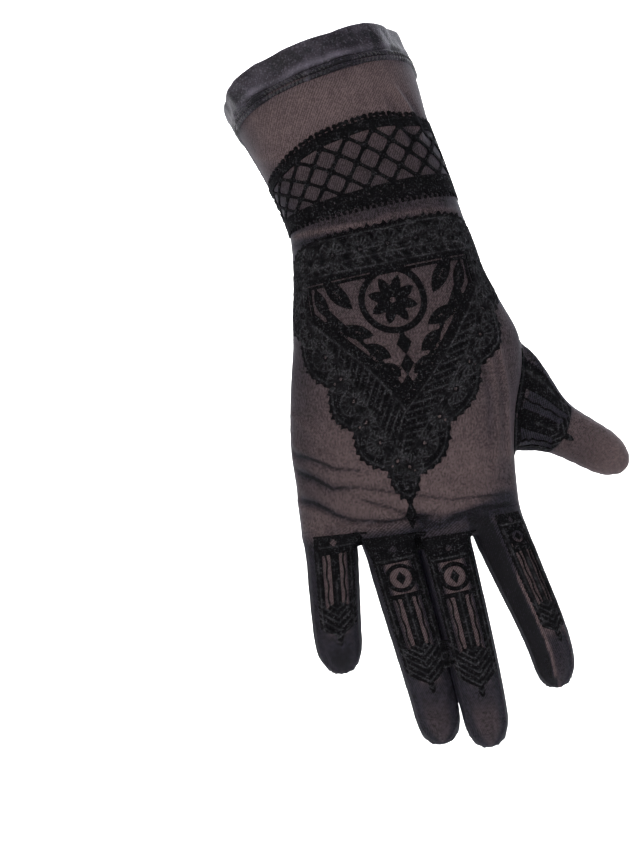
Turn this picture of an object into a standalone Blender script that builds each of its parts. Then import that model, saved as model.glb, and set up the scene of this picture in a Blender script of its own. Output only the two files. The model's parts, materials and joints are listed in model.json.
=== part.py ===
"""A right-hand glove of sheer mesh with flocked trim, in the form that it has when worn.

Metres, +Z up. The origin is the centre of the cuff opening. The fingers point down, the back of the hand
faces -Y and the thumb points towards +X.
"""

import math

import bmesh
import bpy
import numpy as np
from mathutils import Vector

# Hand body
CUFF_WIDTH = 0.0720
CUFF_DEPTH = 0.0570
WRIST_WIDTH = 0.0632
WRIST_DEPTH = 0.0430
PALM_WIDTH = 0.0878
PALM_DEPTH = 0.0290
CUFF_DROP = 0.0597  # from the rim to the narrowest place of the wrist
PALM_DROP = 0.1118  # from there to the knuckle seam
CUFF_SIDE = 0.0113  # how far the cuff leans to the little finger's side
CUFF_LEAN = 0.0198  # how far the cuff leans to the palm's side
WALL = 0.0010  # mesh cloth
SEAM_GAP = 0.0003  # between two pieces side by side
ROOT_GAP = 0.0006  # between the hand body and a stalk set on it, whose rims aren't quite parallel
FOLD_LIFT = 0.0018
FOLD_BREADTH = 0.0030

# Cuff
HEM_HEIGHT = 0.0125
HEM_WALL = 0.0020  # the cloth folded double

# Flocked trim
TRIM_WALL = 0.0010
TRIM_GAP = 0.0005  # between the trim and the mesh under it
PANEL_GAP = 0.0018  # under the back panel, whose faces cross the body's edges
BORDER_HEIGHT = 0.0056
LOWER_BORDER_HEIGHT = 0.0078
LATTICE_HEIGHT = 0.0175
LATTICE_LINE = 0.0012
LATTICE_DIAMONDS = 18  # round the wrist
PANEL_WIDTH = 0.0836
PANEL_HEIGHT = 0.0980
PANEL_DROP = 0.0045  # from the band down to the panel
PANEL_HEART = 0.30  # share of its height that lies above its centre

# Fingers
THUMB_LENGTH = 0.0610
THUMB_WIDTH = 0.0220
THUMB_DEPTH = 0.0180
FINGER_LENGTHS = {"little": 0.0557, "ring": 0.0880, "middle": 0.0903, "index": 0.0717}
FINGER_WIDTHS = {"little": 0.0198, "ring": 0.0197, "middle": 0.0196, "index": 0.0208}
FINGER_DEPTHS = {"little": 0.0150, "ring": 0.0168, "middle": 0.0175, "index": 0.0172}

# Faces of the grids
ROUND = 32  # round the hand
DOWN = 28  # from the hem to the knuckles
FINGER_ROUND = 12
FINGER_DOWN = 9
THUMB_DOWN = 7
MERGE = 1e-6  # points nearer than this are one
ON_EDGE = 1e-9  # a place that lies this little short of a face is on it

# Sections of the hand. Level 0 is the rim, 1 the wrist and 2 the knuckle seam. Side and lean are shares of
# CUFF_SIDE and CUFF_LEAN. Width and depth are 0 at the wrist's size and 1 at the cuff's, or below the wrist
# at the palm's. Roll and tilt turn the section, in degrees. Arch and thenar are shares of PALM_DEPTH.
SECTIONS = (
    # level, side, lean, width, depth, roll, tilt, arch, thenar
    (0.000, 0.00, 0.00, 1.00, 1.00, 10.5, 22.0, 0.00, 0.00),
    (0.190, 0.27, 0.21, 0.77, 0.84, 8.5, 17.0, 0.00, 0.00),
    (0.550, 0.63, 0.58, 0.12, 0.45, 9.0, 12.6, 0.00, 0.00),
    (0.770, 0.84, 0.81, 0.00, 0.20, 5.5, 9.0, 0.00, 0.00),
    (1.000, 1.00, 1.00, 0.00, 0.00, 0.6, 4.6, 0.00, 0.00),
    (1.141, 1.00, 1.11, 0.18, 0.18, 0.0, 1.0, 0.00, 0.04),
    (1.258, 0.96, 1.13, 0.39, 0.32, 0.0, 0.0, 0.01, 0.16),
    (1.365, 1.02, 1.13, 0.66, 0.43, 0.0, 0.0, 0.02, 0.28),
    (1.472, 1.03, 1.13, 0.94, 0.54, 0.0, 0.0, 0.04, 0.34),
    (1.589, 0.82, 1.13, 1.00, 0.68, 0.0, 0.0, 0.07, 0.30),
    (1.696, 0.52, 1.13, 0.88, 0.82, -1.0, 0.0, 0.09, 0.18),
    (1.830, 0.31, 1.13, 0.75, 0.93, -3.5, 0.0, 0.12, 0.04),
    (2.000, 0.13, 1.13, 0.73, 1.00, -5.5, 0.0, 0.13, 0.00),
)
SQUARENESS = 2.35  # power of the sections' superellipse
THENAR_SIDE = 0.45  # where the ball of the thumb stands out most, as a share of the half width
THENAR_BREADTH = 0.45  # share of the half width over which it dies away

# The hem's section, round once from the middle of its upper edge
HEM_PROFILE = (
    # down as a share of HEM_HEIGHT, inwards as a share of HEM_WALL
    (0.00, 0.50),
    (0.03, 0.00),
    (0.50, -0.06),
    (0.97, 0.00),
    (1.00, 0.50),
    (0.97, 1.00),
    (0.03, 1.00),
)

# Folds of the cloth on the back of the hand. Side is a share of the section's half width, + at the thumb.
FOLDS = (
    # from side, from level, to side, to level, lift as a share of FOLD_LIFT
    (-0.95, 1.890, -0.26, 1.905, 0.8),
    (-0.30, 1.903, 0.25, 1.955, 1.0),
    (-0.72, 1.815, -0.48, 1.840, 0.6),
    (0.86, 1.330, 0.88, 1.560, -1.2),
    (0.88, 1.540, 0.84, 1.800, -0.9),
    (0.97, 1.330, 0.99, 1.700, 0.8),
)
FOLD_LIMIT = 0.25  # sine of the angle towards the palm up to which the folds reach

# Where the palm's end is shared out, as shares of its half width, + at the thumb
ROOTS = {
    "little": (-1.00, -0.505),
    "ring": (-0.505, 0.010),
    "middle": (0.010, 0.500),
    "index": (0.500, 1.00),
}
# Lean of each tip to the thumb's side and curl of it to the palm's side, as shares of the finger's length
TIPS = {"little": (-0.10, 0.20), "ring": (0.035, 0.19), "middle": (0.025, 0.15), "index": (0.145, 0.17)}

# Sections of a finger: shares of its length, width, depth, lean and curl
FINGER_SECTIONS = (
    # along, width, depth, lean, curl
    (0.00, 1.00, 1.00, 0.00, 0.00),
    (0.20, 1.00, 1.00, 0.22, 0.03),
    (0.40, 0.98, 0.95, 0.48, 0.12),
    (0.60, 0.95, 0.92, 0.76, 0.32),
    (0.80, 0.90, 0.84, 0.97, 0.64),
    (1.00, 0.80, 0.72, 1.00, 1.00),
)
ROOT_BLEND = 0.30  # share of a finger's length over which it leaves the palm's section
ROOT_HALVINGS = 30  # steps that find the root's outline
FINGER_TIP = 1.05  # length of the rounded tip, as a share of the finger's half width

# The thumb's hole, in faces of the hand body's grid, and its way out of the palm
HOLE_ROUND = (0, 6)  # from the thumb's side towards the palm
HOLE_LEVELS = (1.51, 1.84)
THUMB_SPLAY = 47.0  # from straight down towards +X, in degrees
THUMB_FORWARD = 11.0  # towards the palm's side, in degrees
THUMB_BOW = 0.0055  # how far its middle lies below the straight line
THUMB_TIP = 0.575  # length of the rounded tip, as a share of the thumb's width
THUMB_TAPER = 0.22  # share of its width that it loses on the way to the tip
THUMB_BLEND = 0.55  # share of its length over which it leaves the hole's outline

# Strips of trim on the fingers, in faces: rows from the root, and the rows that are open in the middle
TRIM_ROWS = 9
TRIM_COLUMNS = 8  # each as wide as a face of the thumb's own grid
TRIM_COLUMNS_A_FACE = 2.2  # how many of them lie on one face of a finger's grid
TRIM_OPEN_ROWS = (2, 3, 5, 6)
TRIM_POINT = 0.12  # share of its length by which the strip's sides stop short of its point
TRIM_SPAN = (0.16, 0.72)  # along the finger
THUMB_TRIM_SPAN = (0.34, 0.66)
THUMB_TRIM_SIDE = (0.0, -1.0, 0.6)  # the side of the thumb that it lies on
THUMB_TRIM_MIDDLE = 0.6  # share of the thumb's length where that side is sought

# The lattice and the lace panel. Rings are shares of the panel's reach
LATTICE_ROWS = 4  # of half diamonds
PANEL_RINGS = (0.0, 0.13, 0.24, 0.42, 0.52, 0.72, 0.86, 1.0)
PANEL_OPEN = {1: (7, 4), 3: (7, 5), 5: (4, 2)}  # ring: faces from gap to gap, and faces that are open
PANEL_SCALLOPS = 14
PANEL_ROUND = 4 * PANEL_SCALLOPS  # faces round the panel
PANEL_SHOULDER = 5.0  # power of the curve above the panel's centre
PANEL_POINT = 1.2  # power of the curve below it
PANEL_SCALLOP = 0.08  # how far the scallops stand out, as a share of the reach
PANEL_STRAIGHT = 0.5  # sine of the angle above which the panel's top is straight
TURN_STEPS = 96  # steps that measure the way round the hand


def clear_scene():
    for obj in list(bpy.data.objects):
        bpy.data.objects.remove(obj)


def smooth_step(share):
    share = min(max(share, 0.0), 1.0)
    return share * share * (3 - 2 * share)


def read_table(table, at):
    """The row of a table at a value of its first column, on smooth curves through the rows."""
    rows = np.array(table)
    keys = rows[:, 0]
    k = int(np.clip(np.searchsorted(keys, at) - 1, 0, len(keys) - 2))
    slopes = np.gradient(rows, keys, axis=0)
    span = keys[k + 1] - keys[k]
    t = (at - keys[k]) / span
    rise = (
        (2 * t**3 - 3 * t**2 + 1) * rows[k]
        + (t**3 - 2 * t**2 + t) * span * slopes[k]
        + (3 * t**2 - 2 * t**3) * rows[k + 1]
        + (t**3 - t**2) * span * slopes[k + 1]
    )
    return rise


class Section:
    """One section of the hand: a superellipse, turned and set in its place."""

    def __init__(self, level):
        _, side, lean, width, depth, roll, tilt, arch, thenar = read_table(SECTIONS, level)
        wide, deep = (CUFF_WIDTH, CUFF_DEPTH) if level < 1 else (PALM_WIDTH, PALM_DEPTH)
        self.half_width = (WRIST_WIDTH + (wide - WRIST_WIDTH) * width) / 2
        self.half_depth = (WRIST_DEPTH + (deep - WRIST_DEPTH) * depth) / 2
        self.roll = math.radians(roll)
        self.tilt = math.radians(tilt)
        self.arch = PALM_DEPTH * arch
        self.thenar = PALM_DEPTH * thenar
        drop = CUFF_DROP * min(level, 1) + PALM_DROP * max(level - 1, 0)
        self.centre = Vector((CUFF_SIDE * side, -CUFF_LEAN * lean, -drop))

    def place(self, x, y):
        """A point of the section's own plane, in the part's frame."""
        up = -y * math.sin(self.tilt)
        y = y * math.cos(self.tilt)
        across = Vector((x * math.cos(self.roll) - up * math.sin(self.roll), y, 0))
        return self.centre + across + Vector((0, 0, x * math.sin(self.roll) + up * math.cos(self.roll)))

    def outline(self, angle, proud=0.0):
        """The outer side at an angle from the thumb's side, + towards the palm, or a little outside it."""
        cos, sin = math.cos(angle), math.sin(angle)
        power = 2 / SQUARENESS
        x = math.copysign(abs(cos) ** power, cos)
        y = math.copysign(abs(sin) ** power, sin)
        bulge = self.thenar * max(sin, 0) * math.exp(-(((x - THENAR_SIDE) / THENAR_BREADTH) ** 2))
        flat_x = (self.half_width + proud) * x
        flat_y = (self.half_depth + proud) * y + self.arch * x * x + bulge
        return flat_x, flat_y

    def edge(self, angle, proud=0.0):
        return self.place(*self.outline(angle, proud))


def fold_height(side, level):
    """How far the folds lift the cloth on the back of the hand."""
    height = 0.0
    for from_side, from_level, to_side, to_level, lift in FOLDS:
        start = np.array((from_side * PALM_WIDTH / 2, from_level * PALM_DROP))
        end = np.array((to_side * PALM_WIDTH / 2, to_level * PALM_DROP))
        here = np.array((side * PALM_WIDTH / 2, level * PALM_DROP))
        along = float(np.clip(np.dot(here - start, end - start) / np.dot(end - start, end - start), 0, 1))
        away = float(np.linalg.norm(here - start - along * (end - start)))
        height += lift * FOLD_LIFT * math.exp(-((away / FOLD_BREADTH) ** 2))
    return height


def hand_point(turn, level, proud=0.0):
    """A point of the hand body's outer side: turn goes round once from the thumb's side through the palm."""
    angle = 2 * math.pi * turn
    section = Section(level)
    lift = 0.0
    if math.sin(angle) < FOLD_LIMIT:
        lift = fold_height(section.outline(angle)[0] / section.half_width, level)
    return section.edge(angle, proud + lift)


def on_faces(point, across, down, x, y):
    """A place on the flat faces of a grid of across by down faces, whose corners the function gives."""
    column, row = math.floor(x * across + ON_EDGE), min(math.floor(y * down + ON_EDGE), down - 1)
    share_x, share_y = x * across - column, y * down - row
    corners = [
        point((column + i) / across, (row + j) / down) * (weight_x * weight_y)
        for i, weight_x in ((0, 1 - share_x), (1, share_x))
        for j, weight_y in ((0, 1 - share_y), (1, share_y))
    ]
    return sum(corners, Vector())


def level_of_drop(drop):
    return drop / CUFF_DROP if drop < CUFF_DROP else 1 + (drop - CUFF_DROP) / PALM_DROP


def material(name, colour, roughness):
    made = bpy.data.materials.new(name)
    made.use_nodes = True
    shader = made.node_tree.nodes["Principled BSDF"]
    shader.inputs["Base Color"].default_value = (*colour, 1)
    shader.inputs["Roughness"].default_value = roughness
    shader.inputs["Metallic"].default_value = 0.0
    return made


def sheer_mesh(name):
    return material(name + "_mesh", (0.045, 0.038, 0.040), 0.80)


def velvet_flock(name):
    return material(name + "_flock", (0.006, 0.006, 0.007), 0.95)


def hem_cloth(name):
    return material(name + "_cloth", (0.020, 0.018, 0.025), 0.75)


def unit_grid(across, down):
    """A grid of faces whose points lie at 0 to 1 in X and Y."""
    grid = bmesh.new()
    bmesh.ops.create_grid(grid, x_segments=across, y_segments=down, size=0.5)
    bmesh.ops.translate(grid, verts=grid.verts, vec=(0.5, 0.5, 0))
    return grid


def shape(grid, place):
    """Each point of the grid moved to where it belongs, and the points that meet there made one."""
    for vert in grid.verts:
        vert.co = place(vert.co.x, vert.co.y)
    bmesh.ops.remove_doubles(grid, verts=grid.verts, dist=MERGE)
    bmesh.ops.dissolve_degenerate(grid, edges=grid.edges, dist=MERGE / 10)


def finish(name, grid, finish_material, thickness=0.0, outwards=False):
    """An object from the grid. Its faces point out, and a modifier gives a single skin its thickness."""
    mesh = bpy.data.meshes.new(name)
    grid.to_mesh(mesh)
    grid.free()
    mesh.materials.append(finish_material)
    mesh.shade_smooth()
    obj = bpy.data.objects.new(name, mesh)
    bpy.context.collection.objects.link(obj)
    if thickness:
        wall = obj.modifiers.new("wall", "SOLIDIFY")
        wall.thickness = thickness
        wall.offset = 1 if outwards else -1
        wall.use_even_offset = False
    return obj


def flip(grid):
    bmesh.ops.reverse_faces(grid, faces=grid.faces)


def body_level(share):
    """The level at a share of the way from the body's upper edge to the knuckle seam."""
    top = level_of_drop(HEM_HEIGHT + SEAM_GAP)
    return top + (2 - top) * share


def body_share(level):
    top = level_of_drop(HEM_HEIGHT + SEAM_GAP)
    return (level - top) / (2 - top)


def hole_rows():
    """The first and the last row of the hand body's grid that the thumb's hole takes."""
    return tuple(round(body_share(level) * DOWN) for level in HOLE_LEVELS)


def on_body(turn, level, proud):
    """A place a little way outside the faces of the hand body."""
    def corner(x, y):
        return hand_point(x, body_level(y), proud)

    return on_faces(corner, ROUND, DOWN, turn, body_share(level))


def build_hand_body():
    first, last = hole_rows()
    grid = unit_grid(ROUND, DOWN)
    hole = []
    for face in grid.faces:
        centre = face.calc_center_median()
        column, row = int(centre.x * ROUND), int(centre.y * DOWN)
        if HOLE_ROUND[0] <= column < HOLE_ROUND[1] and first <= row < last:
            hole.append(face)
    bmesh.ops.delete(grid, geom=hole, context="FACES")
    shape(grid, lambda x, y: hand_point(x, body_level(y)))
    flip(grid)
    return finish("hand_body", grid, sheer_mesh("hand_body"), WALL)


def build_cuff_hem():
    """The folded hem: a band twice as thick as the cloth, with round edges."""
    count = len(HEM_PROFILE)

    def place(x, y):
        drop, inwards = HEM_PROFILE[round(y * count) % count]
        level = level_of_drop(HEM_HEIGHT) * drop
        return hand_point(x, level, WALL / 2 - inwards * HEM_WALL)

    grid = unit_grid(ROUND, count)
    shape(grid, place)
    bmesh.ops.recalc_face_normals(grid, faces=grid.faces)
    return finish("cuff_hem", grid, hem_cloth("cuff_hem"))


def finger_root(name, angle):
    """The root's outline: the palm's end between its two neighbours, from the finger's own centre."""
    knuckles = Section(2)
    low, high = (share * knuckles.half_width for share in ROOTS[name])
    low, high = low + SEAM_GAP / 2, high - SEAM_GAP / 2
    centre = (low + high) / 2
    rise = knuckles.arch * (centre / knuckles.half_width) ** 2
    cos, sin = math.cos(angle), math.sin(angle)
    inner, outer = 0.0, knuckles.half_width
    for _ in range(ROOT_HALVINGS):
        reach = (inner + outer) / 2
        x, y = centre + reach * cos, rise + reach * sin
        share = x / knuckles.half_width
        own_y = (y - knuckles.arch * share**2) / knuckles.half_depth
        inside = low < x < high and abs(share) ** SQUARENESS + abs(own_y) ** SQUARENESS < 1
        inner, outer = (reach, outer) if inside else (inner, reach)
    return knuckles.place(centre + inner * cos, rise + inner * sin), knuckles.place(centre, rise)


def finger_frame(name, along):
    """The centre and the half sizes of a finger's section, and how far its tip is rounded off."""
    length = FINGER_LENGTHS[name]
    lean, curl = TIPS[name]
    _, width, depth, lean_share, curl_share = read_table(FINGER_SECTIONS, along)
    half_width = FINGER_WIDTHS[name] / 2 * width
    half_depth = FINGER_DEPTHS[name] / 2 * depth
    tip = FINGER_TIP * half_width / length
    into_tip = max(0.0, (along - 1 + tip) / tip)
    rounding = math.sqrt(max(0.0, 1 - into_tip**2))
    offset = Vector((lean * lean_share * length, curl * curl_share * length, -along * length))
    return offset, half_width * rounding, half_depth * rounding


def finger_point(name, turn, along, proud=0.0):
    angle = 2 * math.pi * turn
    root, centre = finger_root(name, angle)
    offset, half_width, half_depth = finger_frame(name, along)
    round_point = Vector(((half_width + proud) * math.cos(angle), (half_depth + proud) * math.sin(angle), 0))
    leave = smooth_step(along / ROOT_BLEND)
    root_point = root - centre
    root_point += root_point.normalized() * proud
    drop = Vector((0, 0, -ROOT_GAP))
    return centre + offset + drop + root_point * (1 - leave) + round_point * leave


def build_finger(name):
    grid = unit_grid(FINGER_ROUND, FINGER_DOWN)
    shape(grid, lambda x, y: finger_point(name, x, math.sin(y * math.pi / 2)))
    flip(grid)
    return finish(name + "_finger", grid, sheer_mesh(name + "_finger"), WALL)


def hole_loop():
    """The edge of the thumb's hole, round once from its upper corner on the back of the hand."""
    first, last = hole_rows()
    left, right = HOLE_ROUND
    corners = [(column, first) for column in range(left, right)]
    corners += [(right, row) for row in range(first, last)]
    corners += [(column, last) for column in range(right, left, -1)]
    corners += [(left, row) for row in range(last, first, -1)]
    return [hand_point(column / ROUND, body_level(row / DOWN)) for column, row in corners]


def thumb_axis():
    splay, forward = math.radians(THUMB_SPLAY), math.radians(THUMB_FORWARD)
    return Vector(
        (math.sin(splay) * math.cos(forward), math.sin(forward), -math.cos(splay) * math.cos(forward))
    )


def thumb_sides(axis):
    """The directions of the thumb's depth and width, seen along its axis."""
    depth = (Vector((0, 1, 0)) - axis * axis.y).normalized()
    return depth, axis.cross(depth)


def loop_normal(loop, centre, towards):
    """The direction that the hole faces."""
    around = zip(loop, loop[1:] + loop[:1])
    normal = sum(((a - centre).cross(b - centre) for a, b in around), Vector()).normalized()
    return normal if normal.dot(towards) > 0 else -normal


def thumb_point(loop, index, along, proud=0.0):
    axis = thumb_axis()
    depth, width = thumb_sides(axis)
    centre = sum(loop, Vector()) / len(loop)
    root = loop[index] - centre
    root -= root.normalized() * ROOT_GAP
    angle = math.atan2(root.dot(depth), root.dot(width))
    tip = THUMB_TIP * THUMB_WIDTH / THUMB_LENGTH
    into_tip = max(0.0, (along - 1 + tip) / tip)
    rounding = math.sqrt(max(0.0, 1 - into_tip**2)) * (1 - THUMB_TAPER * along)
    half_width, half_depth = THUMB_WIDTH / 2 * rounding + proud, THUMB_DEPTH / 2 * rounding + proud
    spread = width * (half_width * math.cos(angle)) + depth * (half_depth * math.sin(angle))
    root += root.normalized() * proud
    leave = smooth_step(along / THUMB_BLEND)
    bow = width * (THUMB_BOW * math.sin(math.pi * along))
    rest = root - axis * root.dot(axis) * leave
    start = loop_normal(loop, centre, axis) * ROOT_GAP
    return centre + start + axis * (THUMB_LENGTH * along) + bow + rest * (1 - leave) + spread * leave


def build_thumb():
    loop = hole_loop()
    count = len(loop)
    grid = unit_grid(count, THUMB_DOWN)

    def place(x, y):
        return thumb_point(loop, round(x * count) % count, math.sin(y * math.pi / 2))

    shape(grid, place)
    bmesh.ops.recalc_face_normals(grid, faces=grid.faces)
    return finish("thumb", grid, sheer_mesh("thumb"), WALL)


def build_border(name, top, bottom):
    """A flocked band round the wrist between two drops from the rim."""
    grid = unit_grid(ROUND, 1)
    shape(grid, lambda x, y: on_body(x, level_of_drop(top + (bottom - top) * y), TRIM_GAP))
    flip(grid)
    return finish(name, grid, velvet_flock(name), TRIM_WALL, outwards=True)


def band_drops():
    """The drops from the rim of the band's edges: its top, the lattice's top and foot, and its foot."""
    foot = CUFF_DROP
    lattice_foot = foot - LOWER_BORDER_HEIGHT
    lattice_top = lattice_foot - LATTICE_HEIGHT
    return lattice_top - BORDER_HEIGHT, lattice_top, lattice_foot, foot


def build_lattice():
    """A net turned by 45 degrees, cut through: each cell of the grid holds one slanted line."""
    _, top, foot, _ = band_drops()
    top, foot = top + SEAM_GAP, foot - SEAM_GAP
    columns = 2 * LATTICE_DIAMONDS
    pitch = math.pi * (WRIST_WIDTH + WRIST_DEPTH) / 2 / LATTICE_DIAMONDS
    part = LATTICE_LINE / pitch * math.sqrt(2)
    line = ((0, 0), (part, 0), (1, 1 - part), (1, 1), (1 - part, 1), (0, part))
    mirrored = [(1 - x, y) for x, y in reversed(line)]
    net = bmesh.new()
    for column in range(columns):
        for row in range(LATTICE_ROWS):
            corners = mirrored if (column + row) % 2 else line
            places = [((column + x) / columns, (row + y) / LATTICE_ROWS, 0) for x, y in corners]
            net.faces.new([net.verts.new(place) for place in places])
    shape(net, lambda x, y: on_body(x, level_of_drop(top + (foot - top) * y), TRIM_GAP))
    flip(net)
    return finish("lattice_band", net, velvet_flock("lattice_band"), TRIM_WALL, outwards=True)


def panel_reach(angle):
    """The lace panel's reach from its centre without the scallops: a shield with a point at its foot."""
    cos, sin = math.cos(angle), math.sin(angle)
    reach_side = PANEL_WIDTH / 2
    reach_up = PANEL_HEIGHT * PANEL_HEART
    reach_down = PANEL_HEIGHT * (1 - PANEL_HEART)
    power, reach = (PANEL_SHOULDER, reach_up) if sin >= 0 else (PANEL_POINT, reach_down)
    return 1 / ((abs(cos) / reach_side) ** power + (abs(sin) / reach) ** power) ** (1 / power)


def panel_outline(share):
    """The angle and the reach at a share of the way round the panel's edge, scalloped below its top."""
    angles = np.linspace(0, 2 * math.pi, 4 * PANEL_ROUND + 1)
    points = np.array([panel_reach(a) * np.array((math.cos(a), math.sin(a))) for a in angles])
    lengths = np.concatenate(([0.0], np.cumsum(np.linalg.norm(np.diff(points, axis=0), axis=1))))
    angle = float(np.interp(share * lengths[-1], lengths, angles))
    scallop = abs(math.cos(math.pi * PANEL_SCALLOPS * share)) - 0.5
    scallop *= 1 - smooth_step(math.sin(angle) / PANEL_STRAIGHT)
    return angle, panel_reach(angle) * (1 + PANEL_SCALLOP * scallop)


def turn_at(level, arc):
    """How far round the hand a place lies, an arc's length from the middle of its back, + at the thumb."""
    section = Section(level)
    turns = np.linspace(0.25, 1.25, TURN_STEPS + 1)
    points = np.array([section.outline(2 * math.pi * turn) for turn in turns])
    lengths = np.concatenate(([0.0], np.cumsum(np.linalg.norm(np.diff(points, axis=0), axis=1))))
    middle = np.interp(0.75, turns, lengths)
    return float(np.interp(middle + arc, lengths, turns))


def panel_place(x, y):
    """A point of the flat panel, bent round the back of the hand."""
    angle, reach = panel_outline(x)
    reach *= PANEL_RINGS[round(y * (len(PANEL_RINGS) - 1))]
    drop = CUFF_DROP + PANEL_DROP + PANEL_HEIGHT * PANEL_HEART - reach * math.sin(angle)
    level = level_of_drop(drop)
    return on_body(turn_at(level, reach * math.cos(angle)), level, PANEL_GAP)


def build_back_panel():
    rings = len(PANEL_RINGS) - 1
    grid = unit_grid(PANEL_ROUND, rings)
    gaps = []
    for face in grid.faces:
        middle = face.calc_center_median()
        column, ring = int(middle.x * PANEL_ROUND), int(middle.y * rings)
        if ring in PANEL_OPEN:
            pitch, opened = PANEL_OPEN[ring]
            if (column + opened // 2) % pitch < opened:
                gaps.append(face)
    bmesh.ops.delete(grid, geom=gaps, context="FACES")
    shape(grid, panel_place)
    flip(grid)
    return finish("back_panel", grid, velvet_flock("back_panel"), TRIM_WALL, outwards=True)


def build_strip(name, point):
    """A ladder of flock along a finger's back."""
    grid = unit_grid(TRIM_COLUMNS, TRIM_ROWS)
    rail = TRIM_COLUMNS // 4
    gaps = []
    for face in grid.faces:
        middle = face.calc_center_median()
        column, row = int(middle.x * TRIM_COLUMNS), int(middle.y * TRIM_ROWS)
        if row in TRIM_OPEN_ROWS and rail <= column < TRIM_COLUMNS - rail:
            gaps.append(face)
    bmesh.ops.delete(grid, geom=gaps, context="FACES")
    shape(grid, point)
    flip(grid)
    return finish(name + "_trim", grid, velvet_flock(name + "_trim"), TRIM_WALL, outwards=True)


def trim_along(span, x, y):
    """How far along the finger a place of its strip lies: the foot runs out in a point."""
    first, last = span
    return first + (last - first) * y * (1 - TRIM_POINT * abs(2 * x - 1) * y)


def build_finger_trim(name):
    def corner(x, y):
        return finger_point(name, x, math.sin(y * math.pi / 2), TRIM_GAP)

    def place(x, y):
        turn = 0.75 + (x - 0.5) * TRIM_COLUMNS / TRIM_COLUMNS_A_FACE / FINGER_ROUND
        along = trim_along(TRIM_SPAN, x, y)
        return on_faces(corner, FINGER_ROUND, FINGER_DOWN, turn, math.asin(along) * 2 / math.pi)

    return build_strip(name, place)


def build_thumb_trim():
    """The thumb's strip lies on the side that faces the front, over as many faces as it has columns."""
    loop = hole_loop()
    count = len(loop)
    side = Vector(THUMB_TRIM_SIDE)
    facing = [thumb_point(loop, index, THUMB_TRIM_MIDDLE).dot(side) for index in range(count)]
    middle = facing.index(max(facing))

    def corner(x, y):
        return thumb_point(loop, round(x * count) % count, math.sin(y * math.pi / 2), TRIM_GAP)

    def place(x, y):
        turn = (middle + (x - 0.5) * TRIM_COLUMNS) / count
        along = trim_along(THUMB_TRIM_SPAN, x, y)
        return on_faces(corner, count, THUMB_DOWN, turn, math.asin(along) * 2 / math.pi)

    return build_strip("thumb", place)


def main():
    clear_scene()
    build_hand_body()
    build_cuff_hem()
    build_thumb()
    for name in ROOTS:
        build_finger(name)
    top, lattice_top, lattice_foot, foot = band_drops()
    build_border("upper_border", top, lattice_top)
    build_lattice()
    build_border("lower_border", lattice_foot, foot)
    build_back_panel()
    build_thumb_trim()
    for name in ROOTS:
        build_finger_trim(name)


main()
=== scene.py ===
"""The finish of a right-hand glove of sheer mesh with flocked trim. Metres, +Z up, back of the hand towards -Y.

The patterns of the flocked trim are drawn flat, in millimetres, and laid on the cloth.
"""

import json
import math

import bmesh
import bpy
import numpy as np
from mathutils import Matrix, Vector
from mathutils.bvhtree import BVHTree

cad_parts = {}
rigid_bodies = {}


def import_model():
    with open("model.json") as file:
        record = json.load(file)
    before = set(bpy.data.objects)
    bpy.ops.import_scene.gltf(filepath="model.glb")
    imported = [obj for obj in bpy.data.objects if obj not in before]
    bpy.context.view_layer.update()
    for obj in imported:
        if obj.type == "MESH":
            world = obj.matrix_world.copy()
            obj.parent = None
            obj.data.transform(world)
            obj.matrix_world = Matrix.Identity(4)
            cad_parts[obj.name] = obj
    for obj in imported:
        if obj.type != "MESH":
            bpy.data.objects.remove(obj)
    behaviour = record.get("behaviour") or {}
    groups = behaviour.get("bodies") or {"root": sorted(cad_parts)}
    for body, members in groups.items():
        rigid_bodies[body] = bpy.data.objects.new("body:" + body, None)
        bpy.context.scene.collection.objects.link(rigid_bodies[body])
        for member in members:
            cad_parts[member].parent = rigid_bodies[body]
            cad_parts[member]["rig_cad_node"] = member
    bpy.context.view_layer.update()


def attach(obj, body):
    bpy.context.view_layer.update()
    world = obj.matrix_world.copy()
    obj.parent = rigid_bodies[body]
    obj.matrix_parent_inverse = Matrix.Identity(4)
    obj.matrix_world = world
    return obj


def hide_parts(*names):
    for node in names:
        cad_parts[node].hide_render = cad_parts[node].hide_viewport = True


bl_info = {
    "name": "Mesh glove",
    "version": (1, 0, 0),
    "blender": (4, 5, 0),
    "location": "3D View > Sidebar > Glove",
    "description": "Makes the cloth, hem, seams and flocked lace of a sheer mesh glove",
    "category": "Object",
}

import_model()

MM = 0.001
BODY = "root"

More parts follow.
